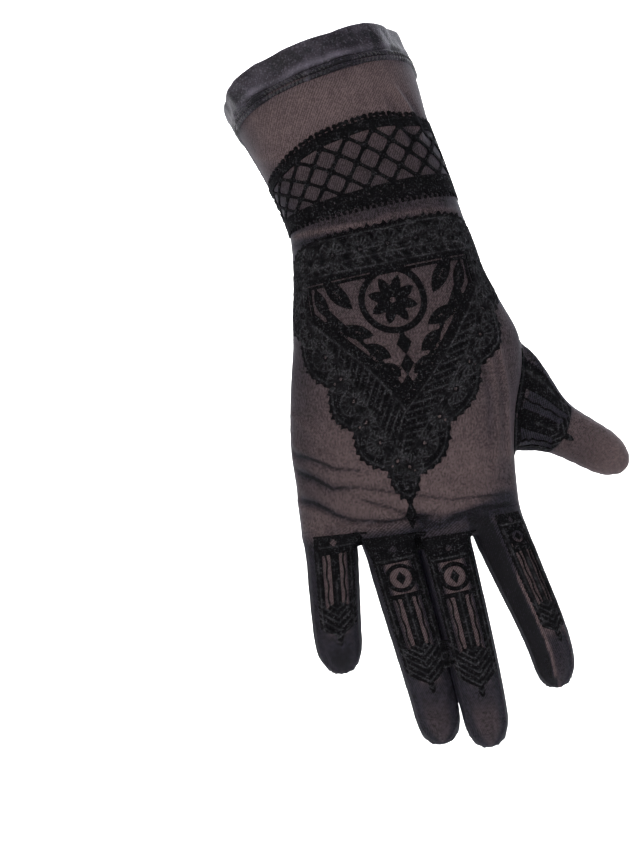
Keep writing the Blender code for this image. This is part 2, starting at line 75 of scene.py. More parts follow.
# Hand, as in the part's source
CUFF_WIDTH, CUFF_DEPTH = 0.0720, 0.0570
WRIST_WIDTH, WRIST_DEPTH = 0.0632, 0.0430
PALM_WIDTH, PALM_DEPTH = 0.0878, 0.0290
CUFF_DROP, PALM_DROP = 0.0597, 0.1118
CUFF_SIDE, CUFF_LEAN = 0.0113, 0.0198
HEM_HEIGHT = 0.0125
SQUARENESS = 2.35
THENAR_SIDE = 0.45
SECTIONS = (
    # level, side, lean, width, depth, roll, tilt, arch, thenar
    (0.000, 0.00, 0.00, 1.00, 1.00, 10.5, 22.0, 0.00, 0.00),
    (0.190, 0.27, 0.21, 0.77, 0.84, 8.5, 17.0, 0.00, 0.00),
    (0.550, 0.63, 0.58, 0.12, 0.45, 9.0, 12.6, 0.00, 0.00),
    (0.770, 0.84, 0.81, 0.00, 0.20, 5.5, 9.0, 0.00, 0.00),
    (1.000, 1.00, 1.00, 0.00, 0.00, 0.6, 4.6, 0.00, 0.00),
    (1.141, 1.00, 1.11, 0.18, 0.18, 0.0, 1.0, 0.00, 0.04),
    (1.258, 0.96, 1.13, 0.39, 0.32, 0.0, 0.0, 0.01, 0.16),
    (1.365, 1.02, 1.13, 0.66, 0.43, 0.0, 0.0, 0.02, 0.28),
    (1.472, 1.03, 1.13, 0.94, 0.54, 0.0, 0.0, 0.04, 0.34),
    (1.589, 0.82, 1.13, 1.00, 0.68, 0.0, 0.0, 0.07, 0.30),
    (1.696, 0.52, 1.13, 0.88, 0.82, -1.0, 0.0, 0.09, 0.18),
    (1.830, 0.31, 1.13, 0.75, 0.93, -3.5, 0.0, 0.12, 0.04),
    (2.000, 0.13, 1.13, 0.73, 1.00, -5.5, 0.0, 0.13, 0.00),
)

# Fingers, as in the part's source
FINGERS = ("little", "ring", "middle", "index")
FINGER_TABLE = {
    # length, width, depth, root from, root to, lean, curl, spread while the cloth is joined
    "little": (0.0557, 0.0198, 0.0150, -1.000, -0.505, -0.100, 0.20, -0.0080),
    "ring": (0.0880, 0.0197, 0.0168, -0.505, 0.010, 0.058, 0.19, -0.0025),
    "middle": (0.0903, 0.0196, 0.0175, 0.010, 0.500, 0.025, 0.15, 0.0020),
    "index": (0.0717, 0.0208, 0.0172, 0.500, 1.000, 0.165, 0.17, 0.0060),
}
FINGER_TAPERS = {"little": 0.0, "ring": 0.01, "middle": 0.01, "index": 0.15}
INDEX_RIDGE = -0.12  # the angle from the middle of the index finger's back at which a ridge runs down it
TIP_LIGHTER = {"little": -0.40, "ring": 0.18, "middle": 0.20, "index": 0.05}
FINGER_SECTIONS = (
    # along, width, depth, lean, curl
    (0.00, 1.00, 1.00, 0.00, 0.00),
    (0.20, 1.00, 1.00, 0.22, 0.03),
    (0.40, 0.98, 0.95, 0.48, 0.12),
    (0.60, 0.95, 0.92, 0.76, 0.32),
    (0.80, 0.90, 0.84, 0.97, 0.64),
    (1.00, 0.80, 0.72, 1.00, 1.00),
)
ROOT_BLEND = 0.17
FINGER_TIP = 1.35
SPREAD_OVER = 0.014  # drop over which the fingers are spread while the cloth is joined

# Thumb, as in the part's source
THUMB_LENGTH, THUMB_WIDTH, THUMB_DEPTH = 0.0610, 0.0220, 0.0180
THUMB_SPLAY, THUMB_FORWARD = math.radians(52), math.radians(11)
THUMB_BOW, THUMB_TIP, THUMB_TAPER, THUMB_BLEND = 0.0010, 0.60, 0.30, 0.55
THUMB_HOLE_TURNS = (0.0, 0.1875)
THUMB_HOLE_LEVELS = (1.49, 1.81)

# Cloth
VOXEL = 0.00098  # size of the faces of the joined cloth
CLOTH_PROUD = 0.0002  # how far the joined cloth shrinks as it is smoothed
CLOTH_TOP = HEM_HEIGHT - 0.0020  # the cloth goes up into the hem by 2 mm
ROOT_DEPTH = 0.012  # how far the fingers' shapes start inside the palm

# How little the cloth is stretched open on the back of the hand, by the drop from the rim in millimetres, with painted
# shade in it: the rise at 176 mm is painted shade at the finger roots
CLOSENESS_AND_SHADE_BY_DROP = (
    (10, 0.55), (15, 0.26), (24, 0.20), (32, 0.34), (37, 0.58), (52, 0.64), (58, 0.72), (70, 0.72), (80, 0.52),
    (108, 0.46), (122, 0.42), (136, 0.32), (150, 0.24), (160, 0.20), (168, 0.22), (176, 0.50),
)
DENSE_ABOVE = 0.060  # drop from the rim above which the cloth hardly lets light through

# Folds of the cloth on the back of the hand, as places (X, Z) in millimetres
FOLDS = (
    # height and breadth in millimetres, painted shade along the fold (+) or painted highlight along it (−), places
    (-1.0, 1.4, 0.50, ((-43, -154), (-40, -155), (-32, -158.4), (-26, -163.4), (-20, -167), (-7, -170), (14, -171))),
    (0.7, 1.2, -0.20, ((-41.0, -155.8), (-37.6, -158.6), (-28.6, -163.9), (-22.9, -170.4))),
    (-1.0, 1.4, 0.46, ((-42, -142), (-31, -149), (-25, -154), (-16, -155.3), (4, -162.3), (17, -166.8), (45, -170))),
    (0.8, 1.3, -0.25, ((-20.2, -154.0), (-5.1, -160.2), (6.0, -164.3), (21.8, -167.4), (34.0, -168.8), (45, -169))),
    (-0.8, 1.2, 0.34, ((-20.2, -157.5), (-5.1, -165.4), (5.9, -172.7), (12.6, -177.0))),
    (-0.7, 1.2, 0.30, ((7.6, -177.5), (18.0, -173.0), (28.7, -171.8), (45.5, -175.5))),
    (0.7, 1.3, -0.18, ((-17.2, -161.0), (-5.1, -168.4), (5.9, -175.0))),
    (-0.7, 1.3, 0.32, ((-42.0, -136.5), (-30.4, -141.6), (-22.1, -147.2), (-8.0, -151.0))),
    (-0.5, 1.3, 0.16, ((10.0, -156.0), (26.0, -162.0), (44.0, -163.5))),
    (0.6, 1.2, -0.20, ((35.6, -97.0), (41.6, -116.6), (41.6, -132.0), (39.4, -147.1), (34.0, -162.0))),
    (-0.5, 1.2, 0.16, ((33.0, -102.0), (38.7, -118.6), (38.7, -134.0), (35.5, -153.1))),
    (0.7, 1.2, -0.30, ((41.2, -98.0), (45.6, -116.0), (45.6, -132.0), (43.2, -146.0), (41.0, -160.0))),
    (0.9, 1.2, -0.50, ((-36.6, -61.6), (-22.7, -60.4), (-13.1, -60.7), (-3.6, -61.5), (18.0, -63.0))),
    (-0.9, 1.2, 0.30, ((-34.6, -64.6), (-20.7, -63.4), (-3.6, -64.2), (22.0, -65.4))),
    (0.6, 1.3, -0.30, ((8.6, -60.9), (24.9, -61.3), (37.7, -62.8), (45.7, -64.8))),
    (0.8, 1.3, -0.24, ((26.4, -10.3), (31.4, -20.8), (35.1, -35.9))),
    (-0.7, 1.3, 0.22, ((23.4, -13.7), (28.2, -26.1), (31.7, -41.2))),
    (-0.6, 1.3, 0.20, ((29.2, -11.0), (34.2, -23.0), (37.8, -38.0))),
    (0.5, 1.4, -0.15, ((-32.9, -25.0), (-22.0, -29.5), (-12.0, -30.5))),
    (-0.5, 1.8, 0.14, ((-33.0, -93.0), (-36.0, -118.0), (-38.0, -144.0))),
    (0.4, 1.3, -0.08, ((-40.0, -116.0), (-30.0, -129.0), (-22.0, -138.0))),
    (0.4, 1.3, -0.08, ((-41.0, -129.0), (-31.0, -140.0), (-20.0, -147.0))),
    (0.4, 1.3, -0.10, ((22.0, -147.0), (36.0, -154.0), (46.0, -156.0))),
    # A fold with no height: painted shade only, in a broad band at the finger roots
    (0.0, 3.6, 0.75, ((-24.0, -175.0), (-8.0, -176.0), (8.0, -175.0), (24.0, -174.0), (44.0, -172.0))),
    (-0.5, 1.6, 0.30, ((3.0, -164.0), (5.0, -170.0), (5.5, -180.0))),
    (0.3, 4.0, -0.30, ((-40.0, -163.0), (-34.0, -167.0), (-27.0, -171.0))),
    (0.3, 3.0, -0.20, ((20.0, -150.0), (30.0, -160.0), (40.0, -165.0))),
    (-0.5, 1.3, 0.20, ((-27.0, -70.0), (-20.0, -74.0), (-8.0, -76.0), (4.0, -74.5))),
    (0.5, 1.3, -0.20, ((-29.0, -72.5), (-20.0, -77.0), (-8.0, -79.0), (6.0, -77.0))),
)
FOLD_END = 7.0  # how far from its ends a fold dies away, in millimetres
CREASED = 0.30  # the least painted shade a fold carries to get a sharp line, along which the finish paints crease shade
CREASE_END = 3.0  # how far from a fold's lowest line its distance is still measured, in millimetres


def table_at(table, at):
    """The columns of a table after the first, at values of the first, on smooth curves through the rows."""
    rows = np.array(table)
    keys = rows[:, 0]
    at = np.asarray(at, float)
    k = np.clip(np.searchsorted(keys, at) - 1, 0, len(keys) - 2)
    slopes = np.gradient(rows, keys, axis=0)
    span = (keys[k + 1] - keys[k])[..., None]
    t = (at - keys[k])[..., None] / span
    value = (
        (2 * t**3 - 3 * t**2 + 1) * rows[k]
        + (t**3 - 2 * t**2 + t) * span * slopes[k]
        + (3 * t**2 - 2 * t**3) * rows[k + 1]
        + (t**3 - t**2) * span * slopes[k + 1]
    )
    return np.moveaxis(value[..., 1:], -1, 0)


def smooth_step(share):
    share = np.clip(share, 0.0, 1.0)
    return share * share * (3 - 2 * share)


def unit(vectors):
    return vectors / np.maximum(np.linalg.norm(vectors, axis=-1, keepdims=True), 1e-12)


def level_of_drop(drop):
    drop = np.asarray(drop, float)
    return np.where(drop < CUFF_DROP, drop / CUFF_DROP, 1 + (drop - CUFF_DROP) / PALM_DROP)


def drop_of_level(level):
    return CUFF_DROP * np.minimum(level, 1) + PALM_DROP * np.maximum(level - 1, 0)


class Sections:
    """Sections of the hand at an array of levels."""

    def __init__(self, level):
        level = np.asarray(level, float)
        side, lean, width, depth, roll, tilt, arch, thenar = table_at(SECTIONS, level)
        wide = np.where(level < 1, CUFF_WIDTH, PALM_WIDTH)
        deep = np.where(level < 1, CUFF_DEPTH, PALM_DEPTH)
        self.half_width = (WRIST_WIDTH + (wide - WRIST_WIDTH) * width) / 2
        self.half_depth = (WRIST_DEPTH + (deep - WRIST_DEPTH) * depth) / 2
        self.roll, self.tilt = np.radians(roll), np.radians(tilt)
        self.arch, self.thenar = PALM_DEPTH * arch, PALM_DEPTH * thenar
        self.centre = np.stack([CUFF_SIDE * side, -CUFF_LEAN * lean, -drop_of_level(level)], -1)

    def axes(self):
        """The directions of the section's width and depth."""
        cos_r, sin_r, cos_t, sin_t = np.cos(self.roll), np.sin(self.roll), np.cos(self.tilt), np.sin(self.tilt)
        across = np.stack([cos_r, np.zeros_like(cos_r), sin_r], -1)
        deep = np.stack([sin_r * sin_t, cos_t, -cos_r * sin_t], -1)
        return across, deep

    def place(self, x, y):
        across, deep = self.axes()
        return self.centre + across * np.asarray(x)[..., None] + deep * np.asarray(y)[..., None]

    def outline(self, angle, proud=0.0):
        cos, sin = np.cos(angle), np.sin(angle)
        power = 2 / SQUARENESS
        x = np.sign(cos) * np.abs(cos) ** power
        y = np.sign(sin) * np.abs(sin) ** power
        bulge = self.thenar * np.maximum(sin, 0) * np.exp(-(((x - THENAR_SIDE) / THENAR_SIDE) ** 2))
        return (self.half_width + proud) * x, (self.half_depth + proud) * y + self.arch * x * x + bulge


def hand_edge(angle, level, proud=0.0):
    """A point of the hand's outer side at an angle from the thumb's side, + towards the palm."""
    section = Sections(level)
    return section.place(*section.outline(np.asarray(angle, float), proud))


ARC_LEVELS = np.linspace(0, 2, 81)
ARC_ANGLES = np.linspace(-math.pi / 2, 1.5 * math.pi, 241)


def measure_arcs():
    """For each of ARC_LEVELS, the share of the way round at each of ARC_ANGLES and the length of the way round."""
    shares, lengths = [], []
    for level in ARC_LEVELS:
        points = hand_edge(ARC_ANGLES, np.full_like(ARC_ANGLES, level))
        run = np.concatenate(([0.0], np.cumsum(np.linalg.norm(np.diff(points, axis=0), axis=1))))
        shares.append(run / run[-1])
        lengths.append(run[-1])
    return np.array(shares), np.array(lengths)


ARC_SHARES, ARC_LENGTHS = measure_arcs()


def way_round(level):
    return np.interp(level, ARC_LEVELS, ARC_LENGTHS)


def blend_levels(level, at_row):
    """A value between the two rows of ARC_LEVELS that a level lies between."""
    place = np.clip(np.asarray(level, float) / ARC_LEVELS[1], 0, len(ARC_LEVELS) - 1.0001)
    row = place.astype(int)
    out = np.zeros(place.shape)
    for k in np.unique(row):
        here = row == k
        part = place[here] - k
        out[here] = at_row(k, here) * (1 - part) + at_row(k + 1, here) * part
    return out


def angle_at(share, level):
    """The angle at a share of the way round, 0 in the middle of the back and + towards the thumb."""
    share = np.mod(share, 1.0)
    return blend_levels(level, lambda k, here: np.interp(share[here], ARC_SHARES[k], ARC_ANGLES))


def share_at(angle, level):
    angle = np.mod(angle + math.pi / 2, 2 * math.pi) - math.pi / 2
    return blend_levels(level, lambda k, here: np.interp(angle[here], ARC_ANGLES, ARC_SHARES[k]))


def on_hand(across, drop, proud=0.0):
    """A place on the hand: metres round from the middle of the back, + to the thumb, and metres down from the rim."""
    level = level_of_drop(drop)
    return hand_edge(angle_at(np.asarray(across) / way_round(level), level), level, proud)


def finger_root(name, angle):
    """The outline of a finger's root, in its section's plane, and the root's centre there."""
    knuckles = Sections(2.0)
    _, _, _, low, high, _, _, _ = FINGER_TABLE[name]
    low, high = low * knuckles.half_width, high * knuckles.half_width
    centre = (low + high) / 2
    rise = knuckles.arch * (centre / knuckles.half_width) ** 2
    cos, sin = np.cos(angle), np.sin(angle)
    inner, outer = np.zeros_like(angle), np.full_like(angle, knuckles.half_width)
    for _ in range(24):
        reach = (inner + outer) / 2
        x, y = centre + reach * cos, rise + reach * sin
        share = x / knuckles.half_width
        own_y = (y - knuckles.arch * share**2) / knuckles.half_depth
        inside = (x > low) & (x < high) & (np.abs(share) ** SQUARENESS + np.abs(own_y) ** SQUARENESS < 1)
        inner, outer = np.where(inside, reach, inner), np.where(inside, outer, reach)
    return knuckles.place(centre + inner * cos, rise + inner * sin), knuckles.place(centre, rise)


def finger_middle(name, along):
    """The middle of a finger's sections and their half sizes."""
    length, wide, deep, _, _, lean, curl, _ = FINGER_TABLE[name]
    width, depth, lean_share, curl_share = table_at(FINGER_SECTIONS, along)
    taper = 1 - FINGER_TAPERS[name] * along
    half_width, half_depth = wide / 2 * width * taper, deep / 2 * depth * taper
    tip = FINGER_TIP * half_width / length
    rounding = np.sqrt(np.maximum(0.0, 1 - np.maximum(0.0, (along - 1 + tip) / tip) ** 2))
    _, centre = finger_root(name, np.zeros(1))
    offset = np.stack([lean * lean_share * length, curl * curl_share * length, -along * length], -1)
    return centre + offset, half_width * rounding, half_depth * rounding


def on_finger(name, angle, along, proud=0.0):
    """A place on a finger: the angle from the thumb's side, + towards the palm, and the share of its length."""
    angle, along = np.broadcast_arrays(np.asarray(angle, float), np.asarray(along, float))
    root, centre = finger_root(name, angle)
    middle, half_width, half_depth = finger_middle(name, along)
    ring = np.stack([(half_width + proud) * np.cos(angle), (half_depth + proud) * np.sin(angle), 0 * angle], -1)
    leave = smooth_step(along / ROOT_BLEND)[..., None]
    outline = root - centre
    outline = outline + unit(outline) * proud
    return middle + outline * (1 - leave) + ring * leave


def thumb_loop(angle):
    """The rounded outline of the thumb's root on the hand's surface."""
    cos, sin = np.cos(angle), np.sin(angle)
    turn = (THUMB_HOLE_TURNS[0] + THUMB_HOLE_TURNS[1]) / 2 - cos / np.abs(
        np.maximum(np.abs(cos), np.abs(sin))
    ) ** 0.8 * (THUMB_HOLE_TURNS[1] - THUMB_HOLE_TURNS[0]) / 2
    level = (THUMB_HOLE_LEVELS[0] + THUMB_HOLE_LEVELS[1]) / 2 + sin / np.abs(
        np.maximum(np.abs(cos), np.abs(sin))
    ) ** 0.8 * (THUMB_HOLE_LEVELS[1] - THUMB_HOLE_LEVELS[0]) / 2
    return hand_edge(2 * math.pi * turn, level)


THUMB_AXIS = np.array(
    (
        math.sin(THUMB_SPLAY) * math.cos(THUMB_FORWARD),
        math.sin(THUMB_FORWARD),
        -math.cos(THUMB_SPLAY) * math.cos(THUMB_FORWARD),
    )
)
THUMB_DEEP = unit(np.array((0.0, 1.0, 0.0)) - THUMB_AXIS * THUMB_AXIS[1])
THUMB_WIDE = np.cross(THUMB_AXIS, THUMB_DEEP)
THUMB_CENTRE = thumb_loop(np.linspace(0, 2 * math.pi, 64, endpoint=False)).mean(0)


def on_thumb(angle, along, proud=0.0):
    """A place on the thumb: the angle round its axis from its lower side, + towards the palm."""
    angle, along = np.broadcast_arrays(np.asarray(angle, float), np.asarray(along, float))
    around = np.linspace(0, 2 * math.pi, 181)
    loop = thumb_loop(around) - THUMB_CENTRE
    loop_angle = np.unwrap(np.arctan2(loop @ THUMB_DEEP, loop @ THUMB_WIDE))
    if loop_angle[-1] < loop_angle[0]:
        loop, loop_angle = loop[::-1], loop_angle[::-1]
    wrapped = np.mod(angle - loop_angle[0], 2 * math.pi) + loop_angle[0]
    root = np.stack([np.interp(wrapped, loop_angle, loop[:, k]) for k in range(3)], -1)
    tip = THUMB_TIP * THUMB_WIDTH / THUMB_LENGTH
    rounding = np.sqrt(np.maximum(0.0, 1 - np.maximum(0.0, (along - 1 + tip) / tip) ** 2))
    taper = rounding * (1 - THUMB_TAPER * np.clip(along, 0, 1))
    ring = THUMB_WIDE * ((THUMB_WIDTH / 2 * taper + proud) * np.cos(angle))[..., None]
    ring = ring + THUMB_DEEP * ((THUMB_DEPTH / 2 * taper + proud) * np.sin(angle))[..., None]
    leave = smooth_step(along / THUMB_BLEND)[..., None]
    bow = THUMB_WIDE * (THUMB_BOW * np.sin(math.pi * np.clip(along, 0, 1)))[..., None]
    root = root + unit(root) * proud
    rest = root - THUMB_AXIS * (root @ THUMB_AXIS)[..., None] * leave
    start = THUMB_CENTRE + THUMB_AXIS * (THUMB_LENGTH * along)[..., None]
    return start + bow + rest * (1 - leave) + ring * leave


# Finishes


class Socket:
    """A number in a material's nodes. Sums on it add Math nodes."""

    def __init__(self, finish, socket):
        self.finish, self.socket = finish, socket

    def math(self, operation, *others):
        values = [self, *others]
        return self.finish.node("ShaderNodeMath", {"operation": operation}, dict(enumerate(values)))

    def flipped(self, operation, other):
        return self.finish.node("ShaderNodeMath", {"operation": operation}, {0: other, 1: self})

    def __add__(self, other):
        return self.math("ADD", other)

    def __sub__(self, other):
        return self.math("SUBTRACT", other)

    def __rsub__(self, other):
        return self.flipped("SUBTRACT", other)

    def __mul__(self, other):
        return self.math("MULTIPLY", other)

    def __truediv__(self, other):
        return self.math("DIVIDE", other)

    def __pow__(self, other):
        return self.math("POWER", other)

    __radd__ = __add__
    __rmul__ = __mul__

    def sin(self):
        return self.math("SINE")

    def largest(self, other):
        return self.math("MAXIMUM", other)

    def step(self, low, high):
        """0 below low, 1 above high, and smooth between them."""
        ranges = {"Value": self, "From Min": low, "From Max": high}
        return self.finish.node("ShaderNodeMapRange", {"interpolation_type": "SMOOTHSTEP"}, ranges)


class Finish:
    """A Principled material and the nodes that vary it over the surface."""

    def __init__(self, name, **constants):
        self.material = bpy.data.materials.new(name)
        self.material.use_nodes = True
        self.tree = self.material.node_tree
        self.shader = self.tree.nodes["Principled BSDF"]
        for socket, value in constants.items():
            self.shader.inputs[socket.replace("_", " ")].default_value = value

    def node(self, kind, settings=None, values=None, output=0):
        made = self.tree.nodes.new(kind)
        for key, value in (settings or {}).items():
            if key == "stops":
                for stop, (place, colour) in zip(made.color_ramp.elements, value):
                    stop.position, stop.color = place, (*colour, 1)
            else:
                setattr(made, key, value)
        for key, value in (values or {}).items():
            if isinstance(value, Socket):
                self.tree.links.new(value.socket, made.inputs[key])
            else:
                made.inputs[key].default_value = value
        return Socket(self, made.outputs[output])

    def feed(self, name, value):
        self.tree.links.new(value.socket, self.shader.inputs[name])

    def places(self):
        return self.node("ShaderNodeTexCoord", output="Object")

    def noise(self, scale, detail=2.0, stretch=(1, 1, 1)):
        """Noise on the piece's own place in space, with a scale in bumps per metre."""
        spot = self.node("ShaderNodeMapping", {}, {"Vector": self.places(), "Scale": stretch})
        return self.node("ShaderNodeTexNoise", {}, {"Vector": spot, "Scale": scale, "Detail": detail})

    def weave(self):
        """The two directions of the cloth's grain, in holes."""
        grain = self.node("ShaderNodeUVMap", {"uv_map": "grain"})
        parts = self.tree.nodes.new("ShaderNodeSeparateXYZ")
        self.tree.links.new(grain.socket, parts.inputs[0])
        return Socket(self, parts.outputs["X"]), Socket(self, parts.outputs["Y"])

    def attribute(self, name):
        return self.node("ShaderNodeAttribute", {"attribute_name": name}, output="Fac")

    def colours(self, low, high, share):
        return self.node("ShaderNodeValToRGB", {"stops": ((0, low), (1, high))}, {"Fac": share})

    def blend(self, share, first, second):
        return self.node("ShaderNodeMix", {"data_type": "RGBA"}, {0: share, 6: first, 7: second}, output=2)

    def bump(self, height, distance, strength=1.0):
        values = {"Height": height, "Distance": distance, "Strength": strength}
        self.feed("Normal", self.node("ShaderNodeBump", {}, values))


def sheer_mesh(name, colours):
    """Fine open mesh: holes in slanted rows, warm where it is stretched, tight and bluish where it isn't, and darker
    where painted shade lies along folds, creases and down the sides.
    """
    finish = Finish(name, Roughness=0.75, Sheen_Weight=0.05, Sheen_Roughness=0.45)
    finish.shader.inputs["Sheen Tint"].default_value = (*colours.sheen, 1)
    finish.shader.inputs["Specular IOR Level"].default_value = 0.12
    across, down = finish.weave()
    rows = ((across + down) * (2 * math.pi)).sin() * 0.5 + 0.5
    columns = ((across - down) * (2 * math.pi)).sin() * 0.5 + 0.5
    hole = (rows * 0.68 + columns * 0.32 + (finish.noise(220.0) - 0.5) * 0.4).step(0.42, 0.82)
    close_and_shaded = finish.attribute("closeness")
    cloud = finish.noise(70.0, 3.0, (1, 1, 0.6)) - 0.5
    # Painted shade in the folds' sharp crease lines: darker colour and less light let through
    crease = 1 - finish.attribute("crease").step(0.05, 0.85)
    dense_and_shaded = (close_and_shaded + cloud * 0.22 + crease * 0.20).step(0.05, 0.95)
    yarn = colours.mesh_yarn_cover
    through = (1 - (hole * (colours.mesh_hole_cover - yarn) + yarn)) * (1 - dense_and_shaded * 0.6)
    finish.feed("Alpha", 1 - through * (1 - finish.attribute("cover")))
    specks = finish.noise(1250.0, 3.0) - 0.5
    wales = finish.noise(420.0, 2.0, (1, 1, 0.12)) - 0.5
    # Past 1 the value darkens the cloth further, as painted shade down the fingers' sides
    deep = close_and_shaded.step(0.95, 1.40)
    light = hole * 0.95 + specks * 3.2 + wales * 0.6 + 0.08 - crease * 0.55 - deep * 0.9
    open_colour = finish.colours([0.62 * part for part in colours.mesh], [1.55 * part for part in colours.mesh], light)
    shut_and_shaded_colour = finish.colours([0.25 * part for part in colours.shut_and_shaded], [1.8 * part for part in colours.shut_and_shaded], light)
    finish.feed("Base Color", finish.blend(dense_and_shaded, open_colour, shut_and_shaded_colour))
    finish.bump(1 - hole, 0.00006, 0.35)
    return finish.material


def velvet_flock(name, colours):
    """Short tightly packed pile: nearly black, with paler fibre ends here and there, partly painted glints of light."""
    finish = Finish(name, Roughness=1.0, Sheen_Weight=0.012, Sheen_Roughness=0.5)
    finish.shader.inputs["Sheen Tint"].default_value = (*colours.sheen, 1)
    finish.shader.inputs["Specular IOR Level"].default_value = 0.03
    tufts = finish.noise(1500.0, 3.0)
    patches = finish.noise(330.0, 3.0)
    glinting_fibres = tufts.step(0.48, 0.74) * (patches.step(0.32, 0.66) * 0.65 + 0.15)
    vein = finish.attribute("vein") * (patches.step(0.30, 0.62) * 0.44 + 0.08)
    finish.feed("Base Color", finish.colours(colours.flock, colours.fibre_ends_and_glints, (glinting_fibres + vein).math("MINIMUM", 1)))
    finish.bump(tufts + patches * 0.6 - vein * 0.5, 0.0003, 0.8)
    return finish.material


def folded_hem_cloth(name, colours):
    """The mesh folded double: tight, with its grain showing as a bump, and a painted bluish highlight where it catches
    the light.
    """
    finish = Finish(name, Roughness=0.52, Sheen_Weight=0.06, Sheen_Roughness=0.40)
    finish.shader.inputs["Sheen Tint"].default_value = (*colours.sheen, 1)
    finish.shader.inputs["Specular IOR Level"].default_value = 0.16
    across, down = finish.weave()
    rows = ((across + down) * (2 * math.pi)).sin() * 0.5 + 0.5
    columns = ((across - down) * (2 * math.pi)).sin() * 0.5 + 0.5
    grain = rows * 0.6 + columns * 0.4
    pulls = finish.noise(190.0, 1.0, (1, 1, 0.03)).step(0.64, 0.72)
    tucks = finish.noise(150.0, 1.0, (1, 1, 0.05)).step(0.60, 0.70)
    specks = finish.noise(1300.0, 3.0).step(0.50, 0.72)
    clouds = finish.noise(120.0, 4.0, (1, 1, 1.8)).step(0.32, 0.72)
    # Painted bluish highlight, and darker along the stitched ridges, from the hem's outline
    streak = finish.attribute("streak")
    shade = clouds * 0.30 + grain * 0.08 + specks * 0.50 + pulls * 0.36 + streak * 0.52 - tucks * 0.24 - 0.04
    finish.feed("Base Color", finish.colours(colours.hem, colours.hem_highlight, shade))
    finish.bump(grain + specks * 0.8 + pulls * 0.8 - tucks, 0.00014, 0.7)
    return finish.material


def sewing_thread(name, colours):
    finish = Finish(name, Roughness=0.55, Sheen_Weight=0.2)
    twist = finish.noise(2500.0, 1.0)
    finish.feed("Base Color", finish.colours([0.5 * c for c in colours.thread], colours.thread, twist))
    finish.bump(twist, 0.00008, 0.6)
    return finish.material


def pale_floor(name):
    finish = Finish(name, Roughness=0.9)
    shade = finish.noise(3.0, 2.0)
    finish.feed("Base Color", finish.colours((0.88, 0.88, 0.88), (0.91, 0.91, 0.91), shade))
    return finish.material


# Making pieces


def new_piece(name, shape, finish_material):
    """An object from a bmesh, riding on the part's one body."""
    mesh = bpy.data.meshes.new(name)
    shape.to_mesh(mesh)
    shape.free()
    mesh.materials.append(finish_material)
    mesh.shade_smooth()
    piece = bpy.data.objects.new(name, mesh)
    bpy.context.scene.collection.objects.link(piece)
    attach(piece, BODY)
    return piece


def thicken(piece, thickness, outwards):
    wall = piece.modifiers.new("wall", "SOLIDIFY")
    wall.thickness = thickness
    wall.offset = 1 if outwards else -1
    wall.use_even_offset = False
    return piece


def unit_grid(across, down):
    grid = bmesh.new()
    bmesh.ops.create_grid(grid, x_segments=across, y_segments=down, size=0.5)
    bmesh.ops.translate(grid, verts=grid.verts, vec=(0.5, 0.5, 0))
    return grid


def places_of(shape):
    return np.array([vert.co[:] for vert in shape.verts])


def move_to(shape, points):
    for vert, point in zip(shape.verts, points):
        vert.co = point


def closed_tube(across, down, place):
    """A tube with rounded or flat ends, closed, from a place for each angle and each row of a grid."""
    grid = unit_grid(across, down)
    flat = places_of(grid)
    move_to(grid, place(2 * math.pi * flat[:, 0], flat[:, 1]))
    bmesh.ops.remove_doubles(grid, verts=grid.verts, dist=1e-6)
    bmesh.ops.holes_fill(grid, edges=[edge for edge in grid.edges if edge.is_boundary], sides=0)
    bmesh.ops.recalc_face_normals(grid, faces=grid.faces)
    return grid


def add_to(shape, other):
    """Joins another bmesh to this one."""
    mesh = bpy.data.meshes.new("part")
    other.to_mesh(mesh)
    other.free()
    shape.from_mesh(mesh)
    bpy.data.meshes.remove(mesh)


def knuckle_drop(points, name):
    """How far points lie below a finger's root."""
    _, centre = finger_root(name, np.zeros(1))
    return centre[..., 2].item() - points[..., 2] if centre.size == 3 else centre[0, 2] - points[..., 2]


def spread_of(name, points):
    """How far a finger is spread to the side while the cloth is joined, so that neighbours don't fuse."""
    return FINGER_TABLE[name][7] * smooth_step(knuckle_drop(points, name) / SPREAD_OVER)


def hand_shape():
    """The hand from the rim to past the knuckles, where it ends in the webs between the fingers."""
    web_rows, rows = 4, 70

    def place(angle, down):
        row = down * (rows + web_rows)
        level = np.clip(row / rows, 0, 1) * 2
        points = hand_edge(angle, level, CLOTH_PROUD)
        past = np.maximum(row - rows, 0) / web_rows
        centre = Sections(level).centre
        reach = 0.0008 + 0.0067 * np.clip((points[:, 0] + 0.020) / 0.040, 0, 1)
        squeeze = 1 - 0.45 * past**2
        points[:, 1] = centre[:, 1] + (points[:, 1] - centre[:, 1]) * squeeze
        points[:, 2] -= reach * past
        return points

    return closed_tube(96, rows + web_rows, place)


def finger_shape(name):
    rows = 40

    def place(angle, down):
        along = np.sin(np.clip(down * 1.12 - 0.12, 0, 1) * math.pi / 2)
        inside = np.clip(1 - down / 0.107, 0, 1)
        points = on_finger(name, angle, along, CLOTH_PROUD)
        centre, _, _ = finger_middle(name, along)
        points = centre + (points - centre) * (1 - 0.08 * inside)[:, None]
        points[:, 2] += ROOT_DEPTH * inside
        points[:, 0] += spread_of(name, points)
        return points

    return closed_tube(48, rows, place)


def thumb_shape():
    rows = 40

    def place(angle, down):
        along = np.sin(np.clip(down * 1.12 - 0.12, 0, 1) * math.pi / 2)
        inside = np.clip(1 - down / 0.107, 0, 1)[:, None]
        points = on_thumb(angle, along, CLOTH_PROUD)
        shrunk = THUMB_CENTRE + (points - THUMB_CENTRE) * 0.55 - THUMB_AXIS * ROOT_DEPTH
        return points * (1 - inside) + shrunk * inside

    return closed_tube(56, rows, place)


